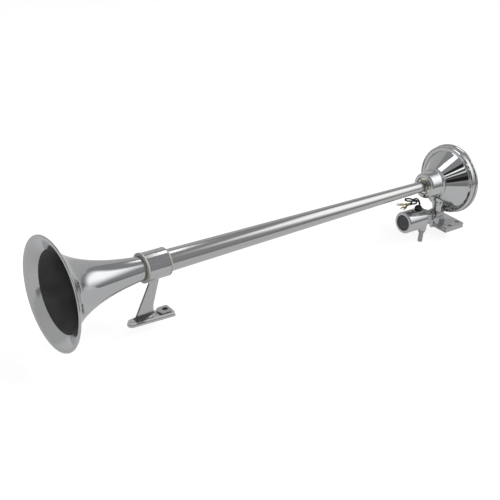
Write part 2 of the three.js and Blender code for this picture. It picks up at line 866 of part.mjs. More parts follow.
// Round boss that takes the valve's outlet
function inletSolid() {
  const faceX = -inletFaceAhead;
  const boss = revolve([
    [faceX, 0],
    [faceX, inletRadius - inletEdge],
    [faceX + inletEdge, inletRadius],
    [-inletRearAhead - inletRadius / 2, inletRadius],
    [-inletRearAhead, inletRadius / 2],
    [-inletRearAhead, 0],
  ], valveSides);
  return boss.translate(0, 0, -valveDrop);
}

function makeHousing() {
  const bottomZ = -axisHeight;
  const plateTopZ = bottomZ + plateThickness;
  const faceX = -inletFaceAhead;
  const holes = [rearHolePlace, frontHolePlace].flatMap(([x, y]) => [-1, 1].map((side) => {
    const hole = rod(bottomZ - overrun, plateTopZ + overrun, boltHoleRadius, smallSides);
    return upright(hole).translate(x, side * y, 0);
  }));
  const tappedHoles = onScrewCircle((place) => {
    const depth = screwDepth + screwHoleSpare;
    return rod(-depth, overrun, screwRadius + fitGap, holeSides).applyMatrix4(place);
  });
  const passage = revolve([
    [faceX - overrun, 0],
    [faceX - overrun, outletRadius + fitGap],
    [faceX + outletHousingDepth, outletRadius + fitGap],
    [faceX + outletHousingDepth, passageRadius],
    [-passageAhead, passageRadius],
    [-passageAhead, 0],
  ], smallSides);
  const riser = rod(-valveDrop, -bossRadius - coneWall, passageRadius, smallSides);
  const geometry = carve(
    [
      housingSkin(),
      common(sidePrism(webSide(), webThickness), planPrism(webPlan(), bottomZ, 0)),
      ribSolid(),
      columnSolid(),
      inletSolid(),
      basePlate(),
    ],
    [
      ...housingCutters(),
      ...holes,
      ...tappedHoles,
      passage.translate(0, 0, -valveDrop),
      upright(riser).translate(-passageAhead, 0, 0),
    ],
  );
  return piece('diaphragm_housing', geometry, finish.chrome);
}

// Places on the screw circle, each as a matrix that moves a piece made on the horn axis
function onScrewCircle(make) {
  return Array.from({ length: screwCount }, (_, i) => {
    const angle = (i + 0.5) * 2 * Math.PI / screwCount;
    const place = new THREE.Matrix4().makeTranslation(
      0,
      screwCircleRadius * Math.cos(angle),
      screwCircleRadius * Math.sin(angle),
    );
    return make(place, i);
  });
}

function makeLockNut() {
  const faceX = noseX + lockNutRecess;
  const backX = faceX + lockNutLength;
  const outer = nutBoreRadius - fitGap;
  const inner = tubeTailRadius + fitGap;
  const body = revolve([
    [faceX, inner + lockNutChamfer],
    [faceX, outer - lockNutChamfer],
    [faceX + lockNutChamfer, outer],
    [backX, outer],
    [backX, inner],
    [faceX + lockNutChamfer, inner],
  ], valveSides);
  const slots = Array.from({ length: lockNutSlots / 2 }, (_, i) => {
    const half = lockNutSlotWidth / 2;
    const cutter = box(faceX - overrun, faceX + lockNutSlotDepth, -outer - overrun,
      outer + overrun, -half, half);
    return cutter.rotateX(Math.PI / 4 + i * 2 * Math.PI / lockNutSlots);
  });
  return piece('tube_lock_nut', carve([body], slots), finish.nickel);
}

function roundRing(x0, x1, inner, outer, sides) {
  const edge = Math.min(x1 - x0, outer - inner) / 4;
  return revolve([
    [x0 + edge, inner],
    [x0, inner + edge],
    [x0, outer - edge],
    [x0 + edge, outer],
    [x1 - edge, outer],
    [x1, outer - edge],
    [x1, inner + edge],
    [x1 - edge, inner],
  ], sides);
}

function makeTubeRing() {
  const frontX = noseX + lockNutRecess + lockNutLength + clampGap;
  const rearX = noseX + nutBoreDepth + sealBoreDepth - clampGap;
  const geometry = roundRing(frontX, rearX, tubeTailRadius + fitGap, tubeRingRadius, valveSides);
  return piece('tube_o_ring', geometry, finish.rubber);
}

function makeNozzle() {
  const lipX = diaphragmX - clampGap;
  const geometry = revolve([
    [clampGap - nozzleInset, throatRadius],
    [clampGap - nozzleInset, nozzleRadius],
    [0, nozzleRadius],
    [lipX, throatRadius + nozzleLip],
    [lipX, throatRadius],
  ], valveSides);
  return piece('nozzle_seat', geometry, finish.brass);
}

const screwHoles = (x0, x1) => onScrewCircle((place) => (
  rod(x0 - overrun, x1 + overrun, screwHoleRadius, holeSides).applyMatrix4(place)
));

function makeGasket(name, x) {
  const end = x + gasketThickness;
  const disc = ring(x, end, chamberMouthRadius, flangeRadius - gasketInset, coverSides);
  return piece(name, carve([disc], screwHoles(x, end)), finish.cork);
}

function makeDiaphragm() {
  const x = diaphragmX;
  const back = x + diaphragmThickness;
  const disc = revolve([
    [x, 0],
    [x, flangeRadius - gasketInset],
    [back, flangeRadius - gasketInset],
    [back, diaphragmPadRadius],
    [back + diaphragmPadThickness, diaphragmPadRadius - diaphragmPadThickness],
    [back + diaphragmPadThickness, 0],
  ], coverSides);
  return piece('diaphragm', carve([disc], screwHoles(x, back)), finish.steel);
}

// A pressed cover: flat rim under the screws, a step, then a low dome over the diaphragm
function makeCover() {
  const rimX = coverX + coverRim;
  const stepX = rimX + coverStepRise;
  const crownX = stepX + coverDomeRise;
  const innerStepRadius = coverStepRadius - coverWall;
  const dome = revolve([
    [crownX - coverWall, 0],
    [stepX - coverWall, innerStepRadius - coverWall],
    [coverX, innerStepRadius],
    [coverX, coverRadius - coverEdge],
    [coverX + coverEdge, coverRadius],
    [rimX - coverEdge, coverRadius],
    [rimX, coverRadius - coverEdge],
    [rimX, coverStepRadius],
    [stepX, coverStepRadius - coverWall],
    [(stepX + crownX) / 2, (coverStepRadius + coverCrownRadius) / 2],
    [crownX - coverDomeRise / 6, coverCrownRadius],
    [crownX, 0],
  ], coverSides);
  return piece('back_cover', carve([dome], screwHoles(coverX, rimX)), finish.chrome);
}

function makeScrews() {
  const headX = coverX + coverRim + clampGap;
  const outline = [
    [-screwDepth, 0],
    [-screwDepth, screwRadius],
    [headX, screwRadius],
    [headX, screwHeadRadius],
    [headX + screwHeadHeight / 2, screwHeadRadius],
    [headX + screwHeadHeight, screwHeadRadius / 2],
    [headX + screwHeadHeight, 0],
  ];
  return onScrewCircle((place, i) => {
    const screw = revolve(outline, screwSides).applyMatrix4(place);
    return piece(`cover_screw_${i + 1}`, screw, finish.steel);
  });
}

function makeCase() {
  const shell = revolve([
    [caseX, capRadius + fitGap],
    [caseX, caseRadius - caseLipChamfer],
    [caseX + caseLipChamfer, caseRadius],
    [caseRearX, caseRadius],
    [caseRearX, caseRadius - caseWall],
    [caseX + caseLipThickness, caseRadius - caseWall],
    [caseX + caseLipThickness, capRadius + fitGap],
  ], valveSides);
  const leadHole = upright(rod(0, caseRadius + overrun, leadHoleRadius, smallSides));
  leadHole.translate(caseRearX - leadHoleSetback, 0, 0);
  return piece('coil_case', carve([shell], [leadHole]), finish.chrome);
}

function makeEndCap() {
  const geometry = revolve([
    [capX, 0],
    [capX, capRadius - capRecess],
    [capX + capRecess, capRadius],
    [capX + capThickness, capRadius],
    [capX + capThickness, 0],
  ], valveSides);
  return piece('end_cap', geometry, finish.capPlastic);
}

function makeBobbin() {
  const inner = guideBoreRadius + guideWall + fitGap;
  const core = inner + bobbinCoreWall;
  const rearX = valveFrontX - clampGap;
  const geometry = revolve([
    [coilX, inner],
    [coilX, bobbinFlangeRadius],
    [coilX + bobbinFlangeThickness, bobbinFlangeRadius],
    [coilX + bobbinFlangeThickness, core],
    [rearX - bobbinFlangeThickness, core],
    [rearX - bobbinFlangeThickness, bobbinFlangeRadius],
    [rearX, bobbinFlangeRadius],
    [rearX, inner],
  ], smallSides);
  return piece('coil_bobbin', geometry, finish.bobbinPlastic);
}

function makeWinding() {
  const inner = guideBoreRadius + guideWall + bobbinCoreWall + 2 * fitGap;
  const frontX = coilX + bobbinFlangeThickness + clampGap;
  const rearX = valveFrontX - bobbinFlangeThickness - 2 * clampGap;
  const geometry = ring(frontX, rearX, inner, windingRadius, smallSides);
  return piece('coil_winding', geometry, finish.copper);
}

function makeGuideTube() {
  const outer = guideBoreRadius + guideWall;
  const flangeX = valveFrontX + clampGap;
  const geometry = revolve([
    [coilX, guideBoreRadius],
    [coilX, outer],
    [flangeX, outer],
    [flangeX, guideFlangeRadius],
    [flangeX + guideFlangeThickness, guideFlangeRadius],
    [flangeX + guideFlangeThickness, guideBoreRadius],
  ], smallSides);
  return piece('guide_tube', geometry, finish.steel);
}

function makeCoreStop() {
  const geometry = rod(coilX, coreStopRearX, guideBoreRadius - fitGap, smallSides);
  return piece('core_stop', geometry, finish.steel);
}

function makePlunger() {
  const pocketX = plungerFrontX + springPocketDepth;
  const geometry = revolve([
    [pocketX, 0],
    [pocketX, springPocketRadius],
    [plungerFrontX, springPocketRadius],
    [plungerFrontX, plungerRadius],
    [plungerRearX, plungerRadius],
    [plungerRearX, sealPocketRadius],
    [plungerRearX - sealInset, sealPocketRadius],
    [plungerRearX - sealInset, 0],
  ], smallSides);
  return piece('plunger', geometry, finish.steel);
}

function makePlungerSeal() {
  const frontX = plungerRearX - sealInset + clampGap;
  const geometry = rod(frontX, seatX - clampGap, sealRadius, smallSides);
  return piece('plunger_seal', geometry, finish.rubber);
}

// Sweeps a round section along a list of points as one closed tube
function sweptTube(points, radius, sides) {
  const tangents = points.map((_, i) => new THREE.Vector3()
    .subVectors(points[Math.min(i + 1, points.length - 1)], points[Math.max(i - 1, 0)])
    .normalize());
  const places = [];
  const corners = [];
  points.forEach((point, i) => {
    const across = new THREE.Vector3(1, 0, 0).cross(tangents[i]).normalize();
    const other = tangents[i].clone().cross(across);
    for (let k = 0; k < sides; k += 1) {
      const angle = k * 2 * Math.PI / sides;
      const corner = point.clone()
        .addScaledVector(across, radius * Math.cos(angle))
        .addScaledVector(other, radius * Math.sin(angle));
      places.push(corner.x, corner.y, corner.z);
    }
  });
  for (let i = 0; i + 1 < points.length; i += 1) {
    for (let k = 0; k < sides; k += 1) {
      const [a, b] = [i * sides + k, i * sides + (k + 1) % sides];
      corners.push(a, b, a + sides, b, b + sides, a + sides);
    }
  }
  const last = (points.length - 1) * sides;
  for (let k = 1; k + 1 < sides; k += 1) {
    corners.push(0, k + 1, k, last, last + k, last + k + 1);
  }
  const geometry = new THREE.BufferGeometry();
  geometry.setAttribute('position', new THREE.Float32BufferAttribute(places, 3));
  geometry.setIndex(corners);
  return geometry;
}

// The return spring presses on the core stop and in the plunger's pocket
function makeSpring() {
  const room = plungerFrontX + springPocketDepth - coreStopRearX;
  const rise = room - 2 * springWireRadius - 2 * clampGap;
  const steps = springTurns * springStepsPerTurn;
  const points = Array.from({ length: steps + 1 }, (_, i) => {
    const share = i / steps;
    const angle = share * springTurns * 2 * Math.PI;
    return new THREE.Vector3(
      coreStopRearX + springWireRadius + clampGap + share * rise,
      springCoilRadius * Math.cos(angle),
      springCoilRadius * Math.sin(angle),
    );
  });
  let leastGap = Infinity;
  points.forEach((point, i) => {
    for (let k = i + springStepsPerTurn / 2; k < points.length; k += 1) {
      leastGap = Math.min(leastGap, point.distanceTo(points[k]) - 2 * springWireRadius);
    }
  });
  console.log(`plunger_spring: least gap to itself ${leastGap.toFixed(2)} mm`);
  const geometry = sweptTube(points, springWireRadius, springWireSides);
  return piece('plunger_spring', geometry, finish.steel);
}

// The plunger closes the seat, and air then can't pass from the inlet to the outlet
function makeValveBody() {
  const flangeEndX = valveFrontX + valveFlangeLength;
  const body = revolve([
    [valveFrontX, 0],
    [valveFrontX, caseRadius],
    [flangeEndX - valveBodyEdge, caseRadius],
    [flangeEndX, valveBodyRadius],
    [valveRearX - valveBodyEdge, valveBodyRadius],
    [valveRearX, valveBodyRadius - valveBodyEdge],
    [valveRearX, 0],
  ], valveSides);
  const boss = upright(revolve([
    [-inletBossDrop, 0],
    [-inletBossDrop, inletBossRadius - inletBossEdge],
    [inletBossEdge - inletBossDrop, inletBossRadius],
    [0, inletBossRadius],
    [0, 0],
  ], smallSides)).translate(inletX, 0, 0);
  const chamberEndX = valveFrontX + valveChamberDepth;
  const chamber = revolve([
    [valveFrontX - overrun, 0],
    [valveFrontX - overrun, valveChamberRadius],
    [chamberEndX, valveChamberRadius],
    [chamberEndX, seatRadius],
    [seatX, seatRadius],
    [seatX, 0],
  ], smallSides);
  const outlet = revolve([
    [seatX - overrun, 0],
    [seatX - overrun, seatBoreRadius],
    [valveRearX - outletValveDepth, seatBoreRadius],
    [valveRearX - outletValveDepth, outletRadius + fitGap],
    [valveRearX + overrun, outletRadius + fitGap],
    [valveRearX + overrun, 0],
  ], smallSides);
  const inlet = upright(revolve([
    [-inletBossDrop - overrun, 0],
    [-inletBossDrop - overrun, nippleRadius + fitGap],
    [nippleEmbed - inletBossDrop, nippleRadius + fitGap],
    [nippleEmbed - inletBossDrop, inletBoreRadius],
    [-outletRadius - fitGap, inletBoreRadius],
    [-outletRadius - fitGap, 0],
  ], smallSides)).translate(inletX, 0, 0);
  return piece('valve_body', carve([body, boss], [chamber, outlet, inlet]), finish.chrome);
}

function makeOutletNipple() {
  const frontX = valveRearX - outletValveDepth + seatGap;
  const rearX = inletFaceX + outletHousingDepth - seatGap;
  const geometry = ring(frontX, rearX, outletBoreRadius, outletRadius, smallSides);
  return piece('outlet_nipple', geometry, finish.brass);
}

function makeOutletNut() {
  const rearX = inletFaceX - outletRingThickness - 2 * clampGap;
  const frontX = rearX - outletNutLength;
  const corner = outletNutFlats / Math.sqrt(3);
  const hexagon = rod(frontX, rearX, corner, 6);
  const turned = revolve([
    [frontX, outletRadius + fitGap],
    [frontX, corner - outletNutEdge],
    [frontX + outletNutEdge, corner],
    [rearX - outletNutEdge, corner],
    [rearX, corner - outletNutEdge],
    [rearX, outletRadius + fitGap],
  ], valveSides);
  return piece('outlet_nut', common(hexagon, turned), finish.steel);
}

function makeOutletRing() {
  const rearX = inletFaceX - clampGap;
  const geometry = roundRing(rearX - outletRingThickness, rearX, outletRadius + fitGap,
    outletRingRadius, smallSides);
  return piece('outlet_o_ring', geometry, finish.rubber);
}

function makeInletNipple() {
  const geometry = upright(revolve([
    [-nippleDrop, nippleBoreRadius],
    [-nippleDrop, nippleRadius - nippleEdge],
    [nippleEdge - nippleDrop, nippleRadius],
    [nippleEmbed - inletBossDrop - seatGap, nippleRadius],
    [nippleEmbed - inletBossDrop - seatGap, nippleBoreRadius],
  ], smallSides));
  return piece('inlet_nipple', geometry.translate(inletX, 0, 0), finish.satinCast);
}

function makeFerrule() {
  const topZ = -inletBossDrop - clampGap;
  const geometry = upright(revolve([
    [topZ - ferruleLength, nippleRadius + fitGap],
    [topZ - ferruleLength, ferruleTailRadius],
    [topZ - ferruleLength / 2, ferruleTopRadius],
    [topZ, ferruleTopRadius],
    [topZ, nippleRadius + fitGap],
  ], smallSides));
  return piece('inlet_ferrule', geometry.translate(inletX, 0, 0), finish.satinCast);
}

function makeGrommet() {
  const stemRadius = leadHoleRadius - fitGap;
  const headZ = caseRadius + clampGap;
  const topZ = headZ + grommetHeight;
  const geometry = upright(revolve([
    [caseRadius - grommetStemDepth, 0],
    [caseRadius - grommetStemDepth, stemRadius],
    [headZ, stemRadius],
    [headZ, grommetRadius],
    [headZ + grommetHeight / 3, grommetRadius],
    [topZ - grommetHeight / 4, grommetRadius * grommetCrownShare + leadRadius],
    [topZ, grommetRadius * grommetCrownShare],
    [topZ, 0],
  ], smallSides));
  return piece('wire_grommet', geometry.translate(caseRearX - leadHoleSetback, 0, 0), finish.rubber);
}

const leadCurve = (route) => new THREE.CatmullRomCurve3(route.map((p) => new THREE.Vector3(...p)));

function leadSection() {
  const section = new THREE.Shape();
  for (let k = 0; k < leadSides; k += 1) {
    const angle = k * 2 * Math.PI / leadSides;
    const [x, y] = [leadRadius * Math.cos(angle), leadRadius * Math.sin(angle)];
    if (k === 0) section.moveTo(x, y);
    else section.lineTo(x, y);
  }
  return section;
}

// Places a piece made along +X at the end of a lead, a little past it
function atLeadEnd(geometry, curve, beyond) {
  const ahead = curve.getTangent(1);
  const across = new THREE.Vector3(0, 0, 1).cross(ahead).normalize();
  const up = ahead.clone().cross(across);
  const place = new THREE.Matrix4().makeBasis(ahead, across, up);
  return geometry.applyMatrix4(place.setPosition(curve.getPoint(1).addScaledVector(ahead, beyond)));
}

// Flat fork blade ahead of a crimped barrel
function forkTerminal() {
  const half = terminalBladeWidth / 2;
  const slot = terminalSlotWidth / 2;
  const barrel = terminalBarrelWidth / 2;
  const bladeX = terminalBarrelLength - half;
  const tipX = terminalBarrelLength + terminalBladeLength;
  const plan = new THREE.Shape();
  plan.moveTo(bladeX, -barrel / 2);
  plan.quadraticCurveTo(bladeX + half, -barrel / 2, bladeX + half, -half);
  plan.lineTo(tipX, -half);
  plan.lineTo(tipX, -slot);
  plan.lineTo(tipX - terminalSlotDepth + slot, -slot);
  plan.quadraticCurveTo(tipX - terminalSlotDepth, -slot, tipX - terminalSlotDepth, 0);
  plan.quadraticCurveTo(tipX - terminalSlotDepth, slot, tipX - terminalSlotDepth + slot, slot);
  plan.lineTo(tipX, slot);
  plan.lineTo(tipX, half);
  plan.lineTo(bladeX + half, half);
  plan.quadraticCurveTo(bladeX + half, barrel / 2, bladeX, barrel / 2);
  const blade = planPrism(plan, -terminalThickness / 2, terminalThickness / 2);
  const crimp = revolve([
    [0, 0],
    [0, barrel],
    [bladeX, barrel],
    [bladeX + barrel, barrel / 2],
    [bladeX + barrel, 0],
  ], smallSides / 2);
  return carve([blade, crimp]);
}

function makeLead(route, i) {
  const curve = leadCurve(route);
  const steps = leadSteps[i];
  const lead = new THREE.ExtrudeGeometry(leadSection(), { steps, extrudePath: curve });
  const sleeve = roundRing(0, sleeveLength, 0, sleeveRadius, smallSides / 2);
  return [
    piece(`lead_wire_${i + 1}`, lead, finish.rubber),
    piece(`terminal_sleeve_${i + 1}`, atLeadEnd(sleeve, curve, seatGap), finish.rubber),
    piece(
      `brass_terminal_${i + 1}`,
      atLeadEnd(forkTerminal(), curve, sleeveLength + 2 * seatGap),
      finish.brass,
    ),
  ];
}

function makeValve() {
  const valve = new THREE.Group();
  valve.add(
    makeCase(),
    makeEndCap(),
    makeBobbin(),
    makeWinding(),
    makeGuideTube(),
    makeCoreStop(),
    makePlunger(),
    makePlungerSeal(),
    makeSpring(),
    makeValveBody(),
    makeOutletNipple(),
    makeOutletNut(),
    makeOutletRing(),
    makeInletNipple(),
    makeFerrule(),
    makeGrommet(),
    ...leadRoutes.flatMap(makeLead),
  );
  valve.position.z = -valveDrop;
  return valve;
}

const horn = new THREE.Group();
horn.add(
  makeBell(),
  makeTube(),
  makeFrontBush(),
  makeRearBush(),
  makeFrontBracket(),
  makeHousing(),
  makeLockNut(),
  makeTubeRing(),
  makeNozzle(),
  makeGasket('front_gasket', gasketX),
  makeDiaphragm(),
  makeGasket('rear_gasket', rearGasketX),
  makeCover(),
  ...makeScrews(),
  makeValve(),
);
horn.position.set(-basePlateX, 0, axisHeight);

const airHorn = new THREE.Group();
airHorn.add(horn);
export default airHorn;
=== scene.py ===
import math

import bmesh
import bpy
from mathutils import Matrix, Vector


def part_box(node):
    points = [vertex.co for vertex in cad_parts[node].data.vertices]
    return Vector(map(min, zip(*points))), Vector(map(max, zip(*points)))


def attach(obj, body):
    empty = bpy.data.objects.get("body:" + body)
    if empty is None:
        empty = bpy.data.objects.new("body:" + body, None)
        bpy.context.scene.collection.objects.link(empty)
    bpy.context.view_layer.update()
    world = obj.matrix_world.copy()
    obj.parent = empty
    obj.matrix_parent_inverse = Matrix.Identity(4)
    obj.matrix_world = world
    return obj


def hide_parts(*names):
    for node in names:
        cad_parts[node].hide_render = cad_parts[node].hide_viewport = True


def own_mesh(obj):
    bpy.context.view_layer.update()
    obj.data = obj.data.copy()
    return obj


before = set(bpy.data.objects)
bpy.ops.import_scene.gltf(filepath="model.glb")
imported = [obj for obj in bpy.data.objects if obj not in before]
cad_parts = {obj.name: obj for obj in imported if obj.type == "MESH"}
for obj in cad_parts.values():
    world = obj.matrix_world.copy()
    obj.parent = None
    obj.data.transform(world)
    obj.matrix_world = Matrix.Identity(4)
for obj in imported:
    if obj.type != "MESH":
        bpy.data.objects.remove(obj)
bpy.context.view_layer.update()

# The view: a long lens from ahead of the bell, a little above it and to one side,
# turned slightly so that the trumpet climbs across the picture.
view_place = Vector((-1.028335, -0.804240, 0.602789))
view_right = Vector((0.79120, -0.60805, 0.06535))
view_up = Vector((0.23852, 0.40522, 0.88256))


def in_scene(name, data):
    """A new object of the scene."""
    thing = bpy.data.objects.new(name, data)
    bpy.context.scene.collection.objects.link(thing)
    return thing


def placed(place, right, up):
    """A place and turn, given what points right and what points up."""
    turn = Matrix((right, up, right.cross(up))).transposed()
    return Matrix.Translation(place) @ turn.to_4x4()


lens_data = bpy.data.cameras.new("long_lens")
lens_data.sensor_width = 36
lens_data.lens = 68.4
long_lens = in_scene("long_lens", lens_data)
long_lens.matrix_world = placed(view_place, view_right, view_up)
bpy.context.scene.camera = long_lens

# The two leads of the coil: stiff stranded wire in black insulation, moulded into
# the grommet on top of the coil case. Each ends in a sleeve and a fork terminal.
mm = 0.001
valve_height = 22.9
seam = -4.8
valve_axis = Vector((seam, 0, valve_height))
lead_radius = 1.1
lead_routes = (
    (
        (-55.2, -1.5, 20.9), (-55.4, -1.6, 24.2), (-57.5, -0.4, 27.6), (-63.5, 4.2, 30),
        (-70.5, 9, 31.4), (-73.4, 11, 30), (-71.2, 10, 28), (-65.5, 6.8, 27.3),
        (-60.3, 4.2, 27), (-57.4, 3.2, 25.4), (-57.6, 3.4, 23.5), (-59.6, 4.4, 22.8),
        (-62.6, 5.6, 22.8),
    ),
    (
        (-52.4, 1.5, 20.9), (-51.4, 3.2, 24.4), (-51.2, 8, 27), (-51.8, 12.6, 25),
        (-54.2, 14.1, 20.8), (-57.4, 13.3, 19.6), (-60.7, 12.3, 19.6),
    ),
)
noise_low, noise_high = 0.3, 0.7


def surface(material):
    """The inputs of a material's own shader."""
    return material.node_tree.nodes["Principled BSDF"].inputs


def new_material(name, colour, metallic, roughness):
    """A named material of one plain finish."""
    material = bpy.data.materials.new(name)
    material.use_nodes = True
    surface(material)["Base Color"].default_value = (*colour, 1)
    surface(material)["Metallic"].default_value = metallic
    surface(material)["Roughness"].default_value = roughness
    return material


def wired(tree, kind, result, inputs=None, **settings):
    """Adds a node, gives its inputs plain values or other nodes' results, and hands back
    the result that is named."""
    node = tree.nodes.new("ShaderNode" + kind)
    for name, value in settings.items():
        setattr(node, name, value)
    for name, value in (inputs or {}).items():
        if isinstance(value, bpy.types.NodeSocket):
            tree.links.new(value, node.inputs[name])
        else:
            node.inputs[name].default_value = value
    return node.outputs[result]


def ranged(tree, value, start, end, low=0, high=1, **settings):
    """Turns a value that runs from start to end into one that runs from low to high."""
    spans = {"Value": value, "From Min": start, "From Max": end, "To Min": low, "To Max": high}
    return wired(tree, "MapRange", "Result", spans, **settings)


def grain(material, scale, stretch=(1, 1, 1), detail=4):
    """Noise on the piece's own coordinates, in cells per metre."""
    tree = material.node_tree
    place = wired(tree, "TexCoord", "Object")
    drawn = wired(tree, "Mapping", "Vector", {"Vector": place, "Scale": stretch})
    return wired(tree, "TexNoise", "Fac", {"Vector": drawn, "Scale": scale, "Detail": detail})


def hazed(material, pattern, low, high):
    """Lets a pattern run the roughness between two values."""
    tree = material.node_tree
    haze = ranged(tree, pattern, noise_low, noise_high, low, high)
    tree.links.new(haze, surface(material)["Roughness"])


def bumped(material, pattern, depth):
    """Raises a pattern from the surface, to a depth in millimetres."""
    tree = material.node_tree
    relief = wired(tree, "Bump", "Normal", {"Height": pattern, "Distance": depth * mm})
    tree.links.new(relief, surface(material)["Normal"])


insulation = new_material("black_insulation", (0.018, 0.018, 0.020), 0, 0.42)
hazed(insulation, grain(insulation, 900), 0.34, 0.52)
bumped(insulation, grain(insulation, 2600), 0.03)


def seat(piece, body, slot, *nodes):
    """Hands a finished piece to the frame: what it stands for and what carries it."""
    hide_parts(*nodes)
    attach(piece, body)
    return piece


def lead(name, route, node):
    """One lead as a round curve along its route."""
    curve = bpy.data.curves.new(name, "CURVE")
    curve.dimensions = "3D"
    curve.bevel_depth = lead_radius * mm
    curve.bevel_resolution = 4
    curve.resolution_u = 12
    curve.use_fill_caps = True
    spline = curve.splines.new("BEZIER")
    spline.bezier_points.add(len(route) - 1)
    for point, place in zip(spline.bezier_points, route):
        point.co = (valve_axis + Vector(place)) * mm
        point.handle_left_type = point.handle_right_type = "AUTO"
    curve.materials.append(insulation)
    return seat(in_scene(name, curve), "horn", "wire_cover", node)


long_lead = lead("long_lead", lead_routes[0], "lead_wire_1")
lead("short_lead", lead_routes[1], "lead_wire_2")

# Sleeves over the crimps: black shrink tube, drawn tight on the wire end. They and
# the forks sit in line with the last stretch of each lead.
sleeve_length = 4.6
sleeve_radius = 1.6
joint_gap = 0.3
crease = math.radians(45)
axis_height = 73.5


def spun(outline, axis="X", centre=(0, 0, axis_height), steps=96):
    """Turns an outline of (station, radius) in millimetres round an axis."""
    along = Vector((1, 0, 0)) if axis == "X" else Vector((0, 0, 1))
    out = Vector((0, 0, 1)) if axis == "X" else Vector((1, 0, 0))
    middle = Vector(centre)
    bm = bmesh.new()
    corners = [bm.verts.new((middle + along * a + out * r) * mm) for a, r in outline]
    solid = outline[0][1] == 0 and outline[-1][1] == 0
    following = corners[1:] if solid else corners[1:] + corners[:1]
    sides = [bm.edges.new(pair) for pair in zip(corners, following)]
    bmesh.ops.spin(bm, geom=corners + sides, cent=middle * mm, axis=along, dvec=(0, 0, 0),
                   angle=2 * math.pi, steps=steps, use_merge=True)
    bmesh.ops.remove_doubles(bm, verts=bm.verts, dist=1e-6)
    bmesh.ops.recalc_face_normals(bm, faces=bm.faces)
    return bm


def eased(bm, radius, least_angle=24, segments=3):
    """Rounds the sharp edges to a radius in millimetres."""
    limit = math.radians(least_angle)
    sharp = [e for e in bm.edges if len(e.link_faces) == 2 and e.calc_face_angle(0) > limit]
    bmesh.ops.bevel(bm, geom=sharp, offset=radius * mm, offset_type="OFFSET",
                    segments=segments, profile=0.5, affect="EDGES", clamp_overlap=True,
                    material=-1)
    return bm


def settled(name, bm):
    """The mesh of a finished shape."""
    mesh = bpy.data.meshes.new(name)
    bm.to_mesh(mesh)
    bm.free()
    return mesh


def shown(name, bm, *materials):
    """Makes a scene object of a shape, smooth but for its remaining sharp edges."""
    for face in bm.faces:
        face.smooth = True
    for edge in bm.edges:
        if len(edge.link_faces) == 2:
            edge.smooth = edge.calc_face_angle(0) < crease
    piece = in_scene(name, settled(name, bm))
    for material in materials:
        piece.data.materials.append(material)
    weigh = piece.modifiers.new("even_faces", "WEIGHTED_NORMAL")
    weigh.keep_sharp = True
    weigh.weight = 80
    return piece


def lead_end(route):
    """Place and turn of a lead's end: +X runs on along the wire, +Z is up."""
    tip = valve_axis + Vector(route[-1])
    ahead = (Vector(route[-1]) - Vector(route[-2])).normalized()
    across = Vector((0, 0, 1)).cross(ahead).normalized()
    return placed(tip * mm, ahead, across)


shrink_tube = new_material("shrink_tube", (0.020, 0.020, 0.022), 0, 0.5)
hazed(shrink_tube, grain(shrink_tube, 1200), 0.42, 0.6)
bumped(shrink_tube, grain(shrink_tube, 1800), 0.05)
for i, route in enumerate(lead_routes):
    first, last = joint_gap, joint_gap + sleeve_length
    bm = spun([(first, 0), (first, 1.25), (first + 0.7, sleeve_radius),
               (last - 1.1, sleeve_radius), (last, 1.35), (last, 0)],
              centre=(0, 0, 0), steps=32)
    bmesh.ops.transform(bm, matrix=lead_end(route), verts=bm.verts)
    sleeve = shown(f"shrink_sleeve_{i + 1}", eased(bm, 0.2, segments=2), shrink_tube)
    seat(sleeve, "horn", "wire_cover", f"terminal_sleeve_{i + 1}")

# Fork terminals: stamped from thin brass, with a crimped barrel behind a flat fork.
# Their tint and gloss vary a little in patches.
fork_width = 6.2
fork_length = 9.5
fork_thickness = 0.8
fork_slot = 2.8
fork_slot_depth = 5.6
fork_round = 0.7
barrel_length = 9.5
barrel_radius = 1.4
crimp_radius = barrel_radius * 0.84
tint_low, tint_high = 0.35, 0.65


def ramped(tree, value, stops):
    """Turns a value into a colour by rising stops of (value, colour)."""
    colour = wired(tree, "ValToRGB", "Color", {"Fac": value})
    marks = colour.node.color_ramp.elements
    marks.remove(marks[-1])
    marks[0].position = stops[0][0]
    for place, _ in stops[1:]:
        marks.new(place)
    for mark, (_, shade) in zip(marks, stops):
        mark.color = (*shade, 1)
    return colour


def tinted(material, pattern, dark, pale):
    """Lets a pattern run the colour between two."""
    tree = material.node_tree
    tint = ramped(tree, pattern, ((tint_low, dark), (tint_high, pale)))
    tree.links.new(tint, surface(material)["Base Color"])


brass = new_material("stamped_brass", (0.56, 0.48, 0.26), 1, 0.28)
tinted(brass, grain(brass, 420), (0.47, 0.39, 0.19), (0.64, 0.56, 0.33))
hazed(brass, grain(brass, 900), 0.2, 0.4)
bumped(brass, grain(brass, 2200), 0.02)


def sheet_shape(outline, low, high, across="Z"):
    """Raises an outline in millimetres to a thickness, from low to high on an axis."""
    lay = {"Z": lambda a, b: (a, b, low), "Y": lambda a, b: (a, low, b),
           "X": lambda a, b: (low, a, b)}[across]
    rise = Vector([(high - low) * (across == axis) for axis in "XYZ"]) * mm
    bm = bmesh.new()
    face = bm.faces.new([bm.verts.new(Vector(lay(a, b)) * mm) for a, b in outline])
    raised = bmesh.ops.extrude_face_region(bm, geom=[face])["geom"]
    tops = [g for g in raised if isinstance(g, bmesh.types.BMVert)]
    bmesh.ops.translate(bm, verts=tops, vec=rise)
    bmesh.ops.recalc_face_normals(bm, faces=bm.faces)
    return bm


def arc(x, y, radius, start, end, count):
    """Points along an arc, angles in degrees."""
    angles = [math.radians(start + (end - start) * k / count) for k in range(count + 1)]
    return [(x + radius * math.cos(a), y + radius * math.sin(a)) for a in angles]


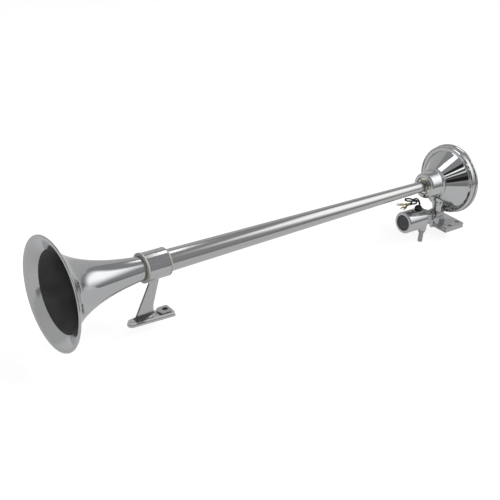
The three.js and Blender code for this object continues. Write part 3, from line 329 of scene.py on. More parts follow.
def joined(first, *others):
    """Adds other meshes to the first one, as closed shells beside or in it."""
    for bm in others:
        spare = settled("spare", bm)
        first.from_mesh(spare)
        bpy.data.meshes.remove(spare)
    return first


for i, route in enumerate(lead_routes):
    half, half_slot, neck = fork_width / 2, fork_slot / 2, barrel_radius / 2
    root = barrel_length - half
    tip = barrel_length + fork_length
    side = [(root, neck), *arc(root, half, half - neck, -90, 0, 6)]
    corner = arc(tip - fork_round, half - fork_round, fork_round, 90, 0, 3)
    opening = [(tip, half_slot),
               *arc(tip - fork_slot_depth + half_slot, 0, half_slot, 90, 180, 6)]
    upper = side + corner + opening
    outline = upper + [(x, -y) for x, y in reversed(upper) if y > 0.001]
    blade = eased(sheet_shape(outline, -fork_thickness / 2, fork_thickness / 2), 0.12, 60, 2)
    barrel = spun([(0, 0), (0, barrel_radius - 0.3), (0.5, barrel_radius),
                   (root * 0.36, barrel_radius), (root * 0.44, crimp_radius),
                   (root * 0.6, crimp_radius), (root * 0.68, barrel_radius),
                   (root - 0.4, barrel_radius), (root + 1.2, neck), (root + 1.2, 0)],
                  centre=(0, 0, 0), steps=32)
    bm = joined(blade, eased(barrel, 0.15, segments=2))
    onward = Matrix.Translation(((sleeve_length + 2 * joint_gap) * mm, 0, 0))
    bmesh.ops.transform(bm, matrix=lead_end(route) @ onward, verts=bm.verts)
    fork = shown(f"fork_terminal_{i + 1}", bm, brass)
    seat(fork, "horn", "brass", f"brass_terminal_{i + 1}")

# Bell: one spinning of thin metal, wired at the rim and plated bright. Inside, nearer
# the axis than the throat radius, its face is coloured dark and dull.
mouth = -636.8
mouth_radius = 66
bell_wall = 1.2
flare_length = 113
tail_length = 11
tail_radius = 14.1
slow_flare = 52
fast_flare = 9
fast_share = 0.212
rim_radius = 1


def flare(depth):
    """Outer radius of the bell at a depth behind its mouth, and its slope there."""
    slow, fast = math.exp(-depth / slow_flare), math.exp(-depth / fast_flare)
    at_tail = ((1 - fast_share) * math.exp(-flare_length / slow_flare)
               + fast_share * math.exp(-flare_length / fast_flare))
    core = (tail_radius - mouth_radius * at_tail) / (1 - at_tail)
    reach = mouth_radius - core
    slope = -reach * ((1 - fast_share) / slow_flare * slow + fast_share / fast_flare * fast)
    return core + reach * ((1 - fast_share) * slow + fast_share * fast), slope


def bright_plate(name, colour, roughness, wave, tone=0.03):
    """Plated metal: faint waviness from the polishing wheel, and hazy patches."""
    material = new_material(name, colour, 1, roughness)
    hazed(material, grain(material, 60), roughness - tone, roughness + tone)
    bumped(material, grain(material, 45, detail=1), wave)
    return material


plate_colour = (0.55, 0.554, 0.561)
bell_plate = bright_plate("bell_plate", plate_colour, 0.085, 0.05)
inner_plate = bright_plate("bell_inner_plate", plate_colour, 0.12, 0.05)
bell_throat = new_material("bell_throat", (0.055, 0.055, 0.056), 0.3, 0.45)
hazed(bell_throat, grain(bell_throat, 120), 0.42, 0.6)
tinted(bell_throat, grain(bell_throat, 60), (0.042, 0.042, 0.043), (0.070, 0.070, 0.071))
bumped(bell_throat, grain(bell_throat, 700), 0.05)
throat_radius = 48
rim_depth = 1.8
stations = 70
depths = [rim_depth + (k / stations) ** 1.7 * (flare_length - rim_depth)
          for k in range(stations + 1)]
outside = []
inside = []
for depth in depths:
    radius, slope = flare(depth)
    stretch = math.hypot(1, slope)
    outside.append((mouth + depth, radius))
    inside.append((mouth + depth + bell_wall * slope / stretch, radius - bell_wall / stretch))
tail = mouth + flare_length + tail_length
rim = arc(mouth + rim_radius, mouth_radius - rim_radius, rim_radius, -55, 230, 20)
bm = spun([*inside, (tail, tail_radius - bell_wall), (tail, tail_radius), *reversed(outside),
           *rim], steps=160)
# Inside faces nearer the axis than the throat radius are coloured dark and dull.
plated, dark_inside = 1, 2
for facet in bm.faces:
    middle = facet.calc_center_median() / mm - Vector((0, 0, axis_height))
    depth, radius = middle.x - mouth, math.hypot(middle.y, middle.z)
    is_inner = radius < flare(max(depth, 0))[0] - bell_wall / 2
    if is_inner and rim_radius / 2 < depth < flare_length:
        facet.material_index = plated if radius > throat_radius else dark_inside
seat(shown("bell_spinning", bm, bell_plate, inner_plate, bell_throat), "horn", "chrome", "bell")

# Trumpet tube: drawn and tapered, drawn down at the front to fit the bell and at the
# back to fit the nose. Polished lengthwise, so its shine is drawn out in fine lines.
tube_front_radius = 13.75
tube_tail_radius = 7.55
tube_wall = 0.9
nose = -57.6
spigot_radius = tail_radius - bell_wall - 0.15
shoulder = tail + 0.3
tube_end = -26.5
taper_end = nose - 3
spigot_front = tail - 10.5
drawn_tube = new_material("drawn_tube", (0.55, 0.549, 0.545), 1, 0.16)
hazed(drawn_tube, grain(drawn_tube, 500, (0.012, 1, 1)), 0.10, 0.22)
bumped(drawn_tube, grain(drawn_tube, 900, (0.006, 1, 1)), 0.012)
bm = spun([(spigot_front, spigot_radius - tube_wall), (spigot_front, spigot_radius),
           (shoulder, spigot_radius), (shoulder, tube_front_radius),
           (taper_end, tube_tail_radius), (tube_end, tube_tail_radius),
           (tube_end, tube_tail_radius - tube_wall), (taper_end, tube_tail_radius - tube_wall),
           (shoulder + tube_wall, tube_front_radius - tube_wall),
           (shoulder, spigot_radius - tube_wall)], steps=128)
seat(shown("trumpet", bm, drawn_tube), "horn", "polished_tube", "trumpet_tube")

# Nylon bushes: two moulded rings that close the collar and let the trumpet turn in
# it. Off-white, slightly waxy, with soft moulded edges.
collar_rear = -492.25
collar_radius = 17.2
collar_bore = 15.3
bush_radius = collar_bore - 0.15
nylon = new_material("moulded_nylon", (0.66, 0.645, 0.59), 0, 0.4)
surface(nylon)["Subsurface Weight"].default_value = 0.15
surface(nylon)["Subsurface Radius"].default_value = (0.002, 0.0018, 0.0014)
tinted(nylon, grain(nylon, 160), (0.61, 0.595, 0.54), (0.70, 0.688, 0.64))
hazed(nylon, grain(nylon, 300), 0.34, 0.5)
bumped(nylon, grain(nylon, 1100), 0.03)
face = -523.5
back = face + 2.2
bore = tail_radius + 0.25
lip_radius = 18.1
bm = spun([(face, bore), (face, lip_radius), (back, lip_radius), (back, bush_radius),
           (back + 8.4, bush_radius), (back + 8.4, bore)])
seat(shown("front_ring", eased(bm, 0.55), nylon), "front_mount", "nylon", "front_bush")
face = collar_rear + 0.05
back = face + 1.6
bore = tube_front_radius - 0.14 + 0.3
bm = spun([(face - 11.5, bore), (face - 11.5, bush_radius), (face, bush_radius),
           (face, collar_radius), (back, collar_radius), (back, bore)])
seat(shown("rear_ring", eased(bm, 0.45), nylon), "front_mount", "nylon", "rear_bush")

# Front bracket: one zinc casting of collar, raked strut and foot, plated over its
# cast skin. The collar is turned bright and the foot keeps a satin grain. The hollow of
# the root, the foot's top beside it and the strut's narrow front edge have painted shade.
collar_front = -521.25
foot_nose = -539.95
foot_tail = -479.05
foot_lower = 3.2
foot_upper = 6.4
foot_inset = 0.7
foot_half = 9
nose_half = 5.6
nose_length = 7
foot_round = 1.4
pad_front = -498.85
pad_rear = -482.45
pad_half = 6.9
pad_top = 8.9
pad_lip = 1.3
blade_half = 1.4
spread_half = 5.2
root_front = -530.45
spread_rear = -512.25
spread_end = -503.75
spread_base = 5.7
spread_top = 12.6
toe_height, toe_front = 11, -528.45
waist_height, waist_rear = 20.5, -506.05
neck_height, neck_front = 50.3, -512.35
strut_top, top_front, top_rear = 58.2, -516.25, -497.95
root_tail = 6.8
bracket_plate = bright_plate("bracket_plate", plate_colour, 0.16, 0.04, 0.04)
tinted(bracket_plate, grain(bracket_plate, 900, (0.02, 1, 1)),
       (0.50, 0.504, 0.510), (0.61, 0.614, 0.620))
satin_cast = new_material("satin_cast", (0.58, 0.585, 0.592), 1, 0.3)
hazed(satin_cast, grain(satin_cast, 260), 0.22, 0.38)
bumped(satin_cast, grain(satin_cast, 1500), 0.05)
# Painted shade: a dark grey for the strut's front edge, the slot's walls and the pad's neck.
painted_shade_cast = new_material("painted_shade_cast", (0.17, 0.172, 0.175), 0.8, 0.45)
tinted(painted_shade_cast, grain(painted_shade_cast, 300), (0.12, 0.122, 0.125), (0.23, 0.232, 0.236))
hazed(painted_shade_cast, grain(painted_shade_cast, 500), 0.38, 0.55)
bumped(painted_shade_cast, grain(painted_shade_cast, 1200), 0.08)
# Painted shade for the root's hollow and the foot's top beside the strut.
root_painted_shade = new_material("root_painted_shade", (0.56, 0.565, 0.57), 1, 0.3)
hazed(root_painted_shade, grain(root_painted_shade, 260), 0.24, 0.38)
bumped(root_painted_shade, grain(root_painted_shade, 1500), 0.05)


def reckoned(tree, operation, *values):
    """The result of a sum on plain values or other nodes' results."""
    return wired(tree, "Math", "Value", dict(enumerate(values)), operation=operation)


# The painted shade is darkest low in the hollow, grows lighter with height and fades
# out rearward; away from the strut the colour is a plain light grey.
tree = root_painted_shade.node_tree
place = wired(tree, "TexCoord", "Object")
apart = wired(tree, "SeparateXYZ", "X", {"Vector": place}).node.outputs
level = ranged(tree, apart["Z"], spread_base * mm, (spread_top + 2) * mm)
shade_greys = ((0, 0.16), (0.3, 0.14), (0.52, 0.13), (0.64, 0.20), (0.8, 0.56), (1, 0.56))
painted_shade_by_height = ramped(tree, level, [(rise, (grey, grey, grey * 1.01)) for rise, grey in shade_greys])
rearward = ranged(tree, apart["X"], (root_front + 8) * mm, (root_front + 25) * mm, 0, 0.4)
reached = ranged(tree, reckoned(tree, "SUBTRACT", level, rearward), -0.16, 0.06,
                 interpolation_type="SMOOTHSTEP")
beside = ranged(tree, reckoned(tree, "ABSOLUTE", apart["Y"]), (spread_half + 0.6) * mm,
                (spread_half + 1.6) * mm, 1, 0)
ahead = ranged(tree, apart["X"], (root_front - 1.2) * mm, (root_front - 0.4) * mm)
near = reckoned(tree, "MULTIPLY", beside, ahead)
tone = {"Factor": reckoned(tree, "MULTIPLY", near, reached), "A": (0.70, 0.704, 0.71, 1),
        "B": painted_shade_by_height}
tree.links.new(wired(tree, "Mix", "Result", tone, data_type="RGBA"),
               surface(root_painted_shade)["Base Color"])


def foot_plan(inset):
    """Plan of the foot: a round nose that widens to a square tail."""
    nose_x, tail_x = foot_nose + inset, foot_tail - inset
    narrow, wide = nose_half - inset, foot_half - inset
    upper = []
    for k in range(13):
        t = k / 12
        early, late, end = 3 * (1 - t) ** 2 * t, 3 * t * t * (1 - t), t ** 3
        upper.append((nose_x + late * nose_length / 3 + end * nose_length,
                      early * narrow * 0.62 + late * narrow + end * narrow))
    upper += arc(tail_x - foot_round, wide - foot_round, foot_round, 90, 0, 5)
    return upper + [(x, -y) for x, y in reversed(upper) if y > 0.001]


def pad_plan(inset):
    """Plan of the slotted pad: rounder at its front."""
    front, rear, half = pad_front + inset, pad_rear - inset, pad_half - inset
    nose_round, tail_round = 4.6 - inset, 1.4
    return [*arc(rear - tail_round, half - tail_round, tail_round, 90, 0, 4),
            *arc(rear - tail_round, tail_round - half, tail_round, 0, -90, 4),
            *arc(front + nose_round, nose_round - half, nose_round, 270, 180, 8),
            *arc(front + nose_round, half - nose_round, nose_round, 180, 90, 8)]


def cut_from(bm, *cutters):
    """Cuts closed shapes from a closed mesh."""
    work = in_scene("work", settled("block", bm))
    tools = [in_scene("cutter", settled("cutter", cutter)) for cutter in cutters]
    for tool in tools:
        modifier = work.modifiers.new("cut", "BOOLEAN")
        modifier.operation = "DIFFERENCE"
        modifier.solver = "EXACT"
        modifier.object = tool
    left = work.evaluated_get(bpy.context.evaluated_depsgraph_get()).to_mesh()
    result = bmesh.new()
    result.from_mesh(left)
    for spare in (work, *tools):
        bpy.data.objects.remove(spare)
    bmesh.ops.dissolve_degenerate(result, edges=result.edges, dist=1e-7)
    return result


def between(value, start, end, low, high):
    """Runs evenly from low to high as a value runs from start to end."""
    return low + (high - low) * (value - start) / (end - start)


def strut_ends(height):
    """Front and rear of the strut at a height above the surface it stands on."""
    if height < toe_height:
        front = between(height, spread_base, toe_height, root_front, toe_front)
    elif height < neck_height:
        front = between(height, toe_height, neck_height, toe_front, neck_front)
    else:
        front = between(height, neck_height, strut_top, neck_front, top_front)
    if height < waist_height:
        rear = waist_rear + root_tail * between(height, spread_base, waist_height, 1, 0) ** 5
    else:
        rear = between(height, waist_height, strut_top, waist_rear, top_rear)
    return front, rear


def strut_half(x, front, height):
    """Half thickness: a blade that spreads hollow into the foot."""
    if height >= spread_top:
        return blade_half
    rise = min(1, max(0, (x - front) / 1.2))
    fall = min(1, max(0, between(x, spread_rear, spread_end, 1, 0)))
    hollow = between(height, spread_base, spread_top, 1, 0) ** 2.2
    return blade_half + (spread_half - blade_half) * min(rise, fall) * hollow


def strut_ring(bm, height, edge=0.35, stations=26):
    """A level section of the strut with narrow flat ends."""
    front, rear = strut_ends(height)
    side = [(front, blade_half - edge)]
    for k in range(stations + 1):
        x = front + edge + (rear - front - 2 * edge) * (k / stations) ** 1.3
        side.append((x, strut_half(x, front, height)))
    side.append((rear, blade_half - edge))
    ring = [bm.verts.new(Vector((x, -y, height)) * mm) for x, y in side]
    ring += [bm.verts.new(Vector((x, y, height)) * mm) for x, y in reversed(side)]
    return [bm.edges.new(pair) for pair in zip(ring, ring[1:] + ring[:1])]


strut = bmesh.new()
heights = [spread_base + (spread_top - spread_base) * (k / 12) ** 1.4 for k in range(13)]
heights += [18, waist_height, 24, 30, 38, 46, neck_height, 52.5, 55, strut_top]
rings = [strut_ring(strut, height) for height in heights]
for below, above in zip(rings, rings[1:]):
    bmesh.ops.bridge_loops(strut, edges=below + above)
for end in (rings[0], rings[-1]):
    bmesh.ops.edgeloop_fill(strut, edges=end)
bmesh.ops.recalc_face_normals(strut, faces=strut.faces)
slot_mid = -489.15
slot_half = 2.6
slot_reach = 1.1
slot = [*arc(slot_mid + slot_reach, 0, slot_half, 90, -90, 12),
        *arc(slot_mid - slot_reach, 0, slot_half, 270, 90, 12)]
levels = ((foot_plan(0), 0, foot_lower, 0.5),
          (foot_plan(foot_inset), foot_lower - 0.6, foot_upper, 0.9),
          (pad_plan(1.1), foot_upper - 0.6, pad_top - pad_lip + 0.2, 0.1),
          (pad_plan(0), pad_top - pad_lip, pad_top, 0.4))
tiers = [eased(cut_from(sheet_shape(plan, low, high), sheet_shape(slot, -3, 12)), edge, 50)
         for plan, low, high, edge in levels]
collar = eased(spun([(collar_front, collar_bore), (collar_front, collar_radius),
                     (collar_rear, collar_radius), (collar_rear, collar_bore)], steps=128), 0.4)
# Painted shade on the strut's front edge, the slot's walls and the neck under the pad's lip.
# The strut and the foot's upper tier take the root's painted shade.
satin, painted_dark, root_shaded = 1, 2, 3
for facet in strut.faces:
    facet.material_index = painted_dark if facet.normal.x < -0.8 else root_shaded
for tier, finish in zip(tiers, (satin, root_shaded, painted_dark, satin)):
    for facet in tier.faces:
        middle = facet.calc_center_median() / mm
        in_slot = (abs(facet.normal.z) < 0.5 and abs(middle.y) < slot_half + 0.05
                   and abs(middle.x - slot_mid) < slot_half + slot_reach + 0.05)
        facet.material_index = painted_dark if in_slot else finish
bracket = shown("bracket_casting", joined(collar, strut, *tiers), bracket_plate, satin_cast,
                painted_shade_cast, root_painted_shade)
seat(bracket, "front_mount", "satin_casting", "front_bracket")

# Diaphragm housing: a heavy casting of nose, hub, cone and flange on a pedestal, turned
# and plated bright. The wheel only touches the web and column under it, and the rib,
# the base plate and the valve's boss stay as cast.
hub_radius = 18.2
step_radius = 21.8
cone_front = (seam - 28.6, 21.2)
cone_rear = (seam - 5.6, 41)
bead_radius = 45.6
flange_radius = 48.6
air_chamber = 37.5
post_radius = 12
post_bore = 5.4
seat_bore = 8.95
tube_bore = 7.7
seal_recess = 10.75
nut_recess = 12.4
casting_colour = (0.58, 0.584, 0.59)
housing_plate = bright_plate("housing_plate", casting_colour, 0.035, 0.04, 0.015)
web_plate = bright_plate("web_plate", casting_colour, 0.14, 0.08, 0.04)
base_plate = bright_plate("base_plate", (0.50, 0.504, 0.51), 0.26, 0.1, 0.06)
surface(base_plate)["Metallic"].default_value = 0.8
bm = spun([
    (nose, nut_recess), (nose, 15.8), (nose + 0.93, 17.3), (nose + 2.8, hub_radius),
    (seam - 34, 19), (seam - 32.4, 19.5), (seam - 31.5, step_radius),
    (seam - 29.5, step_radius), cone_front, cone_rear, (seam - 4.4, 42.2),
    (seam - 4.4, bead_radius), (seam - 5.7, bead_radius + 1.2),
    (seam - 5.7, flange_radius - 1.2), (seam - 4.4, flange_radius), (seam, flange_radius),
    (seam, air_chamber), (seam - 5.6, air_chamber), (seam - 25, 15.2),
    (seam - 25, post_radius), (seam, post_radius), (seam, seat_bore), (seam - 4, seat_bore),
    (seam - 4, post_bore), (seam - 21, post_bore), (seam - 21, tube_bore),
    (nose + 12.2, tube_bore), (nose + 12.2, seal_recess), (nose + 8.8, seal_recess),
    (nose + 8.8, nut_recess)], steps=160)
skin = eased(bm, 0.35, 20)
front_edge = seam - 15
rear_edge = seam + 24.6
half_width = 23.9
plate_top = 6.5
plate_round = 3
plan = [(front_edge, half_width),
        *arc(rear_edge - plate_round, half_width - plate_round, plate_round, 90, 0, 5),
        *arc(rear_edge - plate_round, plate_round - half_width, plate_round, 0, -90, 5),
        (front_edge, -half_width)]
scallop_depth = 3.4
half_web = 2.5
half_span = (half_width - half_web) / 2
scallop = (half_span ** 2 + scallop_depth ** 2) / (2 * scallop_depth)
bolt_hole = 3.2
cutters = [spun([(0, 0), (0, scallop - scallop_depth), (plate_top, scallop),
                 (plate_top + 3, scallop), (plate_top + 3, 0)], "Z",
                (front_edge + scallop_depth - scallop, side * (half_width - half_span), 0))
           for side in (-1, 1)]
cutters += [spun([(-3, 0), (-3, bolt_hole), (10, bolt_hole), (10, 0)], "Z",
                 (hole_x, side * hole_y, 0), 40)
            for hole_x, hole_y in ((seam + 18, 15.1), (seam - 1.3, 18.4)) for side in (-1, 1)]
plate = eased(cut_from(sheet_shape(plan, 0, plate_top), *cutters), 0.35, 40)
column_x = seam - 14
column_radius = 6.8
web_outline = [
    (seam - 21.5, 0.6), (seam + 12, 0.6), (seam + 12, 6.5), (seam + 7.5, 7.3), (seam + 4, 9.4),
    (seam + 1.5, 13.6), (seam - 0.05, 21.7), (seam - 0.05, 32.5), (seam - 4.4, 35.7),
    (column_x, 46.5), (column_x, valve_height), (seam - 20.2, 14.3), (seam - 21.5, 13.5)]
web = eased(sheet_shape(web_outline, -half_web, half_web, "Y"), 0.9, 50)
rib_half = 7.3
rib_top, rib_tail_top = 12.5, 8.9
rib_plan = [(seam - 8, half_web), (seam - 1, rib_half), (seam + 18.5, rib_half),
            (seam + 18.5, -rib_half), (seam - 1, -rib_half), (seam - 8, -half_web)]
rib = sheet_shape(rib_plan, 0.6, rib_top)
for vertex in rib.verts:
    if vertex.co.z > plate_top * mm and vertex.co.x > (seam + 10) * mm:
        vertex.co.z = rib_tail_top * mm
rib = eased(rib, 0.7, 20)
column = eased(spun([(valve_height, 0), (valve_height, column_radius), (31.5, column_radius),
                     (36.5, 7.9), (41.5, 9.9), (46.5, 13), (52.5, 13), (52.5, 0)],
                    "Z", (column_x, 0, 0), 64), 0.8, 8)
valve_middle = (0, 0, valve_height)
boss = eased(spun([(seam - 21, 5), (seam - 21, 7), (seam - 20.2, 7.8), (seam - 5.4, 7.8),
                   (seam - 1.5, 3.9), (seam - 1.5, 0), (seam - 17, 0), (seam - 17, 5)],
                  centre=valve_middle, steps=64), 0.35, 30)
as_cast, wheeled = 1, 2
for part, finish in ((plate, as_cast), (web, wheeled), (rib, as_cast), (column, wheeled),
                     (boss, as_cast)):
    for facet in part.faces:
        facet.material_index = finish
housing = shown("housing_casting", joined(skin, plate, web, rib, column, boss), housing_plate,
                base_plate, web_plate)
seat(housing, "horn", "chrome", "diaphragm_housing")

# Lock nut in the nose: turned brass, plated, with four notches for a pin wrench. It
# squeezes the seal ring round the tube.
nickel = new_material("warm_nickel", (0.80, 0.775, 0.70), 1, 0.18)
tinted(nickel, grain(nickel, 350), (0.74, 0.715, 0.64), (0.85, 0.825, 0.75))
hazed(nickel, grain(nickel, 700), 0.12, 0.24)
bumped(nickel, grain(nickel, 1200), 0.01)
face = nose + 1.4
nut_radius = 12.25
nut_end = face + 7
nut_chamfer = 1
notch_depth = 2.2
notch_half = 1.5
notches = []
for k in range(2):
    notch = sheet_shape([(face - 3, -notch_half), (face + notch_depth, -notch_half),
                         (face + notch_depth, notch_half), (face - 3, notch_half)], -16, 16)
    bmesh.ops.rotate(notch, verts=notch.verts, cent=(0, 0, 0),
                     matrix=Matrix.Rotation(math.pi / 4 + k * math.pi / 2, 3, "X"))
    bmesh.ops.translate(notch, verts=notch.verts, vec=(0, 0, axis_height * mm))
    notches.append(notch)
bm = spun([(face, tube_bore + nut_chamfer), (face, nut_radius - nut_chamfer),
           (face + nut_chamfer, nut_radius), (nut_end, nut_radius), (nut_end, tube_bore),
           (face + nut_chamfer, tube_bore)], steps=64)
lock_nut = shown("lock_nut", eased(cut_from(bm, *notches), 0.2, 40, 2), nickel)
seat(lock_nut, "horn", "nickel", "tube_lock_nut")

# Back cover: pressed from sheet and plated, a flat rim under the screws, one step and
# a low dome over the diaphragm.
cover_face = -2.55
rim_face = 1.75
cover_radius = 49.8
rim_round = 0.9
bm = spun([(rim_face + 3.2, 0), (rim_face - 0.2, 34.4), (cover_face, 37.2),
           (cover_face, cover_radius - rim_round), (cover_face + rim_round, cover_radius),
           (rim_face - rim_round, cover_radius), (rim_face, cover_radius - rim_round),
           (rim_face, 40), (rim_face + 2.6, 37.2), (rim_face + 4.3, 29), (rim_face + 5.43, 18),
           (rim_face + 6, 0)], steps=128)
screw_count = 6
screw_circle = 43.7
screw_hole = 2.3
screw_places = [Vector((0, y, z)) for y, z in arc(0, axis_height, screw_circle, 30, 330,
                                                  screw_count - 1)]
holes = [spun([(cover_face - 3, 0), (cover_face - 3, screw_hole), (rim_face + 3, screw_hole),
               (rim_face + 3, 0)], centre=place, steps=24) for place in screw_places]
cover_plate = bright_plate("cover_plate", plate_colour, 0.1, 0.05)
cover = shown("pressed_cover", eased(cut_from(bm, *holes), 0.25, 24, 2), cover_plate)
seat(cover, "horn", "chrome", "back_cover")

# Cover screws: six of bright steel with pan heads and a cross recess. They go through
# the rim into the flange, and draw cover, gaskets and diaphragm tight against it.
screw_steel = new_material("screw_steel", (0.62, 0.62, 0.61), 1, 0.25)
hazed(screw_steel, grain(screw_steel, 800), 0.18, 0.34)
bumped(screw_steel, grain(screw_steel, 1500), 0.015)
shank_radius = 2
head_radius = 3.5
head = rim_face + 0.05
cross_floor = head + 0.9
cross_reach = 1.9
cross_half = 0.35
for k, centre in enumerate(screw_places):
    bm = spun([(seam - 3.4, 0), (seam - 3.4, shank_radius), (head, shank_radius),
               (head, head_radius), (head + 1.2, head_radius), (head + 2, 2.9),
               (head + 2.4, 1.75), (head + 2.4, 0)], centre=centre, steps=40)
    cross = []
    for turn in (0, 1):
        blade = sheet_shape([(cross_floor, -cross_reach), (head + 4, -cross_reach),
                             (head + 4, cross_reach), (cross_floor, cross_reach)],
                            -cross_half, cross_half)
        bmesh.ops.rotate(blade, verts=blade.verts, cent=(0, 0, 0),
                         matrix=Matrix.Rotation(turn * math.pi / 2 + 0.5 * k, 3, "X"))
        bmesh.ops.translate(blade, verts=blade.verts, vec=centre * mm)
        cross.append(blade)
    screw = shown(f"pan_head_{k + 1}", cut_from(eased(bm, 0.25, 30, 2), *cross), screw_steel)
    seat(screw, "horn", "steel", f"cover_screw_{k + 1}")

# Coil case: a drawn steel cup with a rolled lip, plated bright. It clamps the coil on
# the valve body.
case_front = -88.15
case_rear = -53.35
case_radius = 15.7
case_inside = 14.5
cap_opening = 11.35
lead_exit = (case_rear - 6.5, 0, 0)
case_plate = bright_plate("case_plate", plate_colour, 0.05, 0.05, 0.02)
shell = spun([(case_front, cap_opening), (case_front, 14.4), (case_front + 1.3, case_radius),
              (case_rear, case_radius), (case_rear, case_inside), (case_front + 2, case_inside),
              (case_front + 2, cap_opening)], centre=valve_middle, steps=128)
lead_hole = spun([(valve_height, 0), (valve_height, 4), (44, 4), (44, 0)], "Z", lead_exit, 40)
coil_case = shown("coil_cup", cut_from(eased(shell, 0.5, 24, 4), lead_hole), case_plate)
seat(coil_case, "horn", "chrome", "coil_case")

# End cap: dark potting resin, poured in the mouth of the cup to seal the coil, and set
# with a mottled skin a little below the lip.
potting = new_material("potting_resin", (0.085, 0.086, 0.09), 0, 0.45)
tinted(potting, grain(potting, 380), (0.055, 0.056, 0.06), (0.125, 0.127, 0.132))
hazed(potting, grain(potting, 700), 0.3, 0.55)
bumped(potting, grain(potting, 500), 0.15)
face = case_front + 0.9
cap_radius = 11.2
bm = spun([(face, 0), (face, cap_radius - 0.9), (face + 0.9, cap_radius),
           (face + 2.6, cap_radius), (face + 2.6, 0)], centre=valve_middle, steps=64)
seat(shown("potting_disc", eased(bm, 0.3), potting), "horn", "cap_plastic", "end_cap")

# Valve body: a plated casting with a flange under the coil case and a boss below for
# the air inlet. The air fills a chamber round the seat that the plunger closes.
valve_front = -53.3
valve_rear = -38.3
seat_face = valve_front + 3.1
chamber_end = valve_front + 8.5
air_bore = 2.2
chamber_radius = 6.8
shell_radius = 9.6
outlet_radius = 5
boss_radius = 6.2
inlet_place = (-44.8, 0, 0)
valve_plate = bright_plate("valve_plate", plate_colour, 0.11, 0.08)
body = spun([(valve_front, chamber_radius), (valve_front, case_radius),
             (valve_front + 1.8, case_radius), (valve_front + 3, shell_radius),
             (valve_rear - 1.2, shell_radius), (valve_rear, shell_radius - 1.2),
             (valve_rear, outlet_radius), (valve_rear - 5, outlet_radius),
             (valve_rear - 5, air_bore), (seat_face, air_bore), (seat_face, 3.4),
             (chamber_end, 3.4), (chamber_end, chamber_radius)], centre=valve_middle)
boss = spun([(1.5, 3.6), (1.5, boss_radius - 1), (2.5, boss_radius), (16, boss_radius),
             (16, 3.6)], "Z", inlet_place, 64)
inlet = spun([(11, 0), (11, air_bore), (18, air_bore), (18, 0)], "Z", inlet_place, 32)
bm = joined(cut_from(eased(body, 0.3), inlet), eased(boss, 0.3))
seat(shown("valve_casting", bm, valve_plate), "horn", "chrome", "valve_body")

# Outlet nut and its seal: a plain hexagon nut draws the valve up to the housing, on a
# black ring.
nut_steel = new_material("nut_steel", (0.50, 0.50, 0.494), 1, 0.28)
hazed(nut_steel, grain(nut_steel, 600), 0.2, 0.36)
bumped(nut_steel, grain(nut_steel, 1500), 0.015)
nut_rear = -28.3
nut_front = nut_rear - 3.6
nut_bore = 5.05
across_flats = 13
hexagon = arc(0, valve_height, across_flats / math.sqrt(3), 0, 300, 5)
bore = spun([(nut_front - 3, 0), (nut_front - 3, nut_bore), (nut_rear + 3, nut_bore),
             (nut_rear + 3, 0)], centre=valve_middle, steps=48)
bm = cut_from(sheet_shape(hexagon, nut_front, nut_rear, "X"), bore)
seat(shown("hexagon_nut", eased(bm, 0.35, 40, 2), nut_steel), "horn", "steel", "outlet_nut")
black_rubber = new_material("black_rubber", (0.022, 0.022, 0.023), 0, 0.55)
hazed(black_rubber, grain(black_rubber, 600), 0.45, 0.65)
bumped(black_rubber, grain(black_rubber, 1500), 0.04)
seal_x = -27.05
seal_radius = 5.825
seal_thickness = 1.55
pressed_wide = (1.5, 1, 1)
bm = spun(arc(seal_x, seal_radius, seal_thickness / 2, 0, 345, 23), centre=valve_middle,
          steps=64)
bmesh.ops.scale(bm, vec=pressed_wide, verts=bm.verts,
                space=Matrix.Translation((-seal_x * mm, 0, 0)))
seat(shown("outlet_seal", bm, black_rubber), "horn", "rubber", "outlet_o_ring")

# Inlet: a plain hose tail with a short ferrule over it, both left satin. They are pressed
# up into the boss, and the air hose goes on from below.
hose_tail = new_material("satin_tail", (0.38, 0.383, 0.388), 1, 0.3)
hazed(hose_tail, grain(hose_tail, 300, (1, 1, 0.1)), 0.22, 0.38)
bumped(hose_tail, grain(hose_tail, 1200), 0.03)
tail_tip = -17.3
tail_end = 10
tail_bore = 2
tail_outside = 3.4
bm = spun([(tail_tip, tail_bore), (tail_tip, tail_outside - 0.5),
           (tail_tip + 0.5, tail_outside), (tail_end, tail_outside), (tail_end, tail_bore)],
          "Z", inlet_place, 48)
seat(shown("hose_tail", eased(bm, 0.3, 20), hose_tail), "horn", "satin_casting", "inlet_nipple")
ferrule_low = -2.95
ferrule_top = 1.45
ferrule_bore = 3.55
ferrule_radius = 5.2
bm = spun([(ferrule_low, ferrule_bore), (ferrule_low, 3.9), (-0.75, ferrule_radius),
           (ferrule_top, ferrule_radius), (ferrule_top, ferrule_bore)], "Z", inlet_place, 48)
seat(shown("ferrule", eased(bm, 0.3, 20), hose_tail), "horn", "satin_casting", "inlet_ferrule")

# Grommet: black rubber, moulded round both leads and pressed into the hole in the top
# of the coil case. Its flange lies on the case, and its neck narrows round the leads.
case_top = valve_height + case_radius
plug_radius = 3.85
grommet_radius = 5.6
grommet_top = 43.25
bm = spun([(37, 0), (37, plug_radius), (case_top + 0.05, plug_radius),
           (case_top + 0.05, grommet_radius), (40.2, grommet_radius), (42.1, 4.6),
           (grommet_top, 3.5), (grommet_top, 0)], "Z", lead_exit, 48)
seat(shown("lead_grommet", eased(bm, 0.4, 20), black_rubber), "horn", "rubber", "wire_grommet")

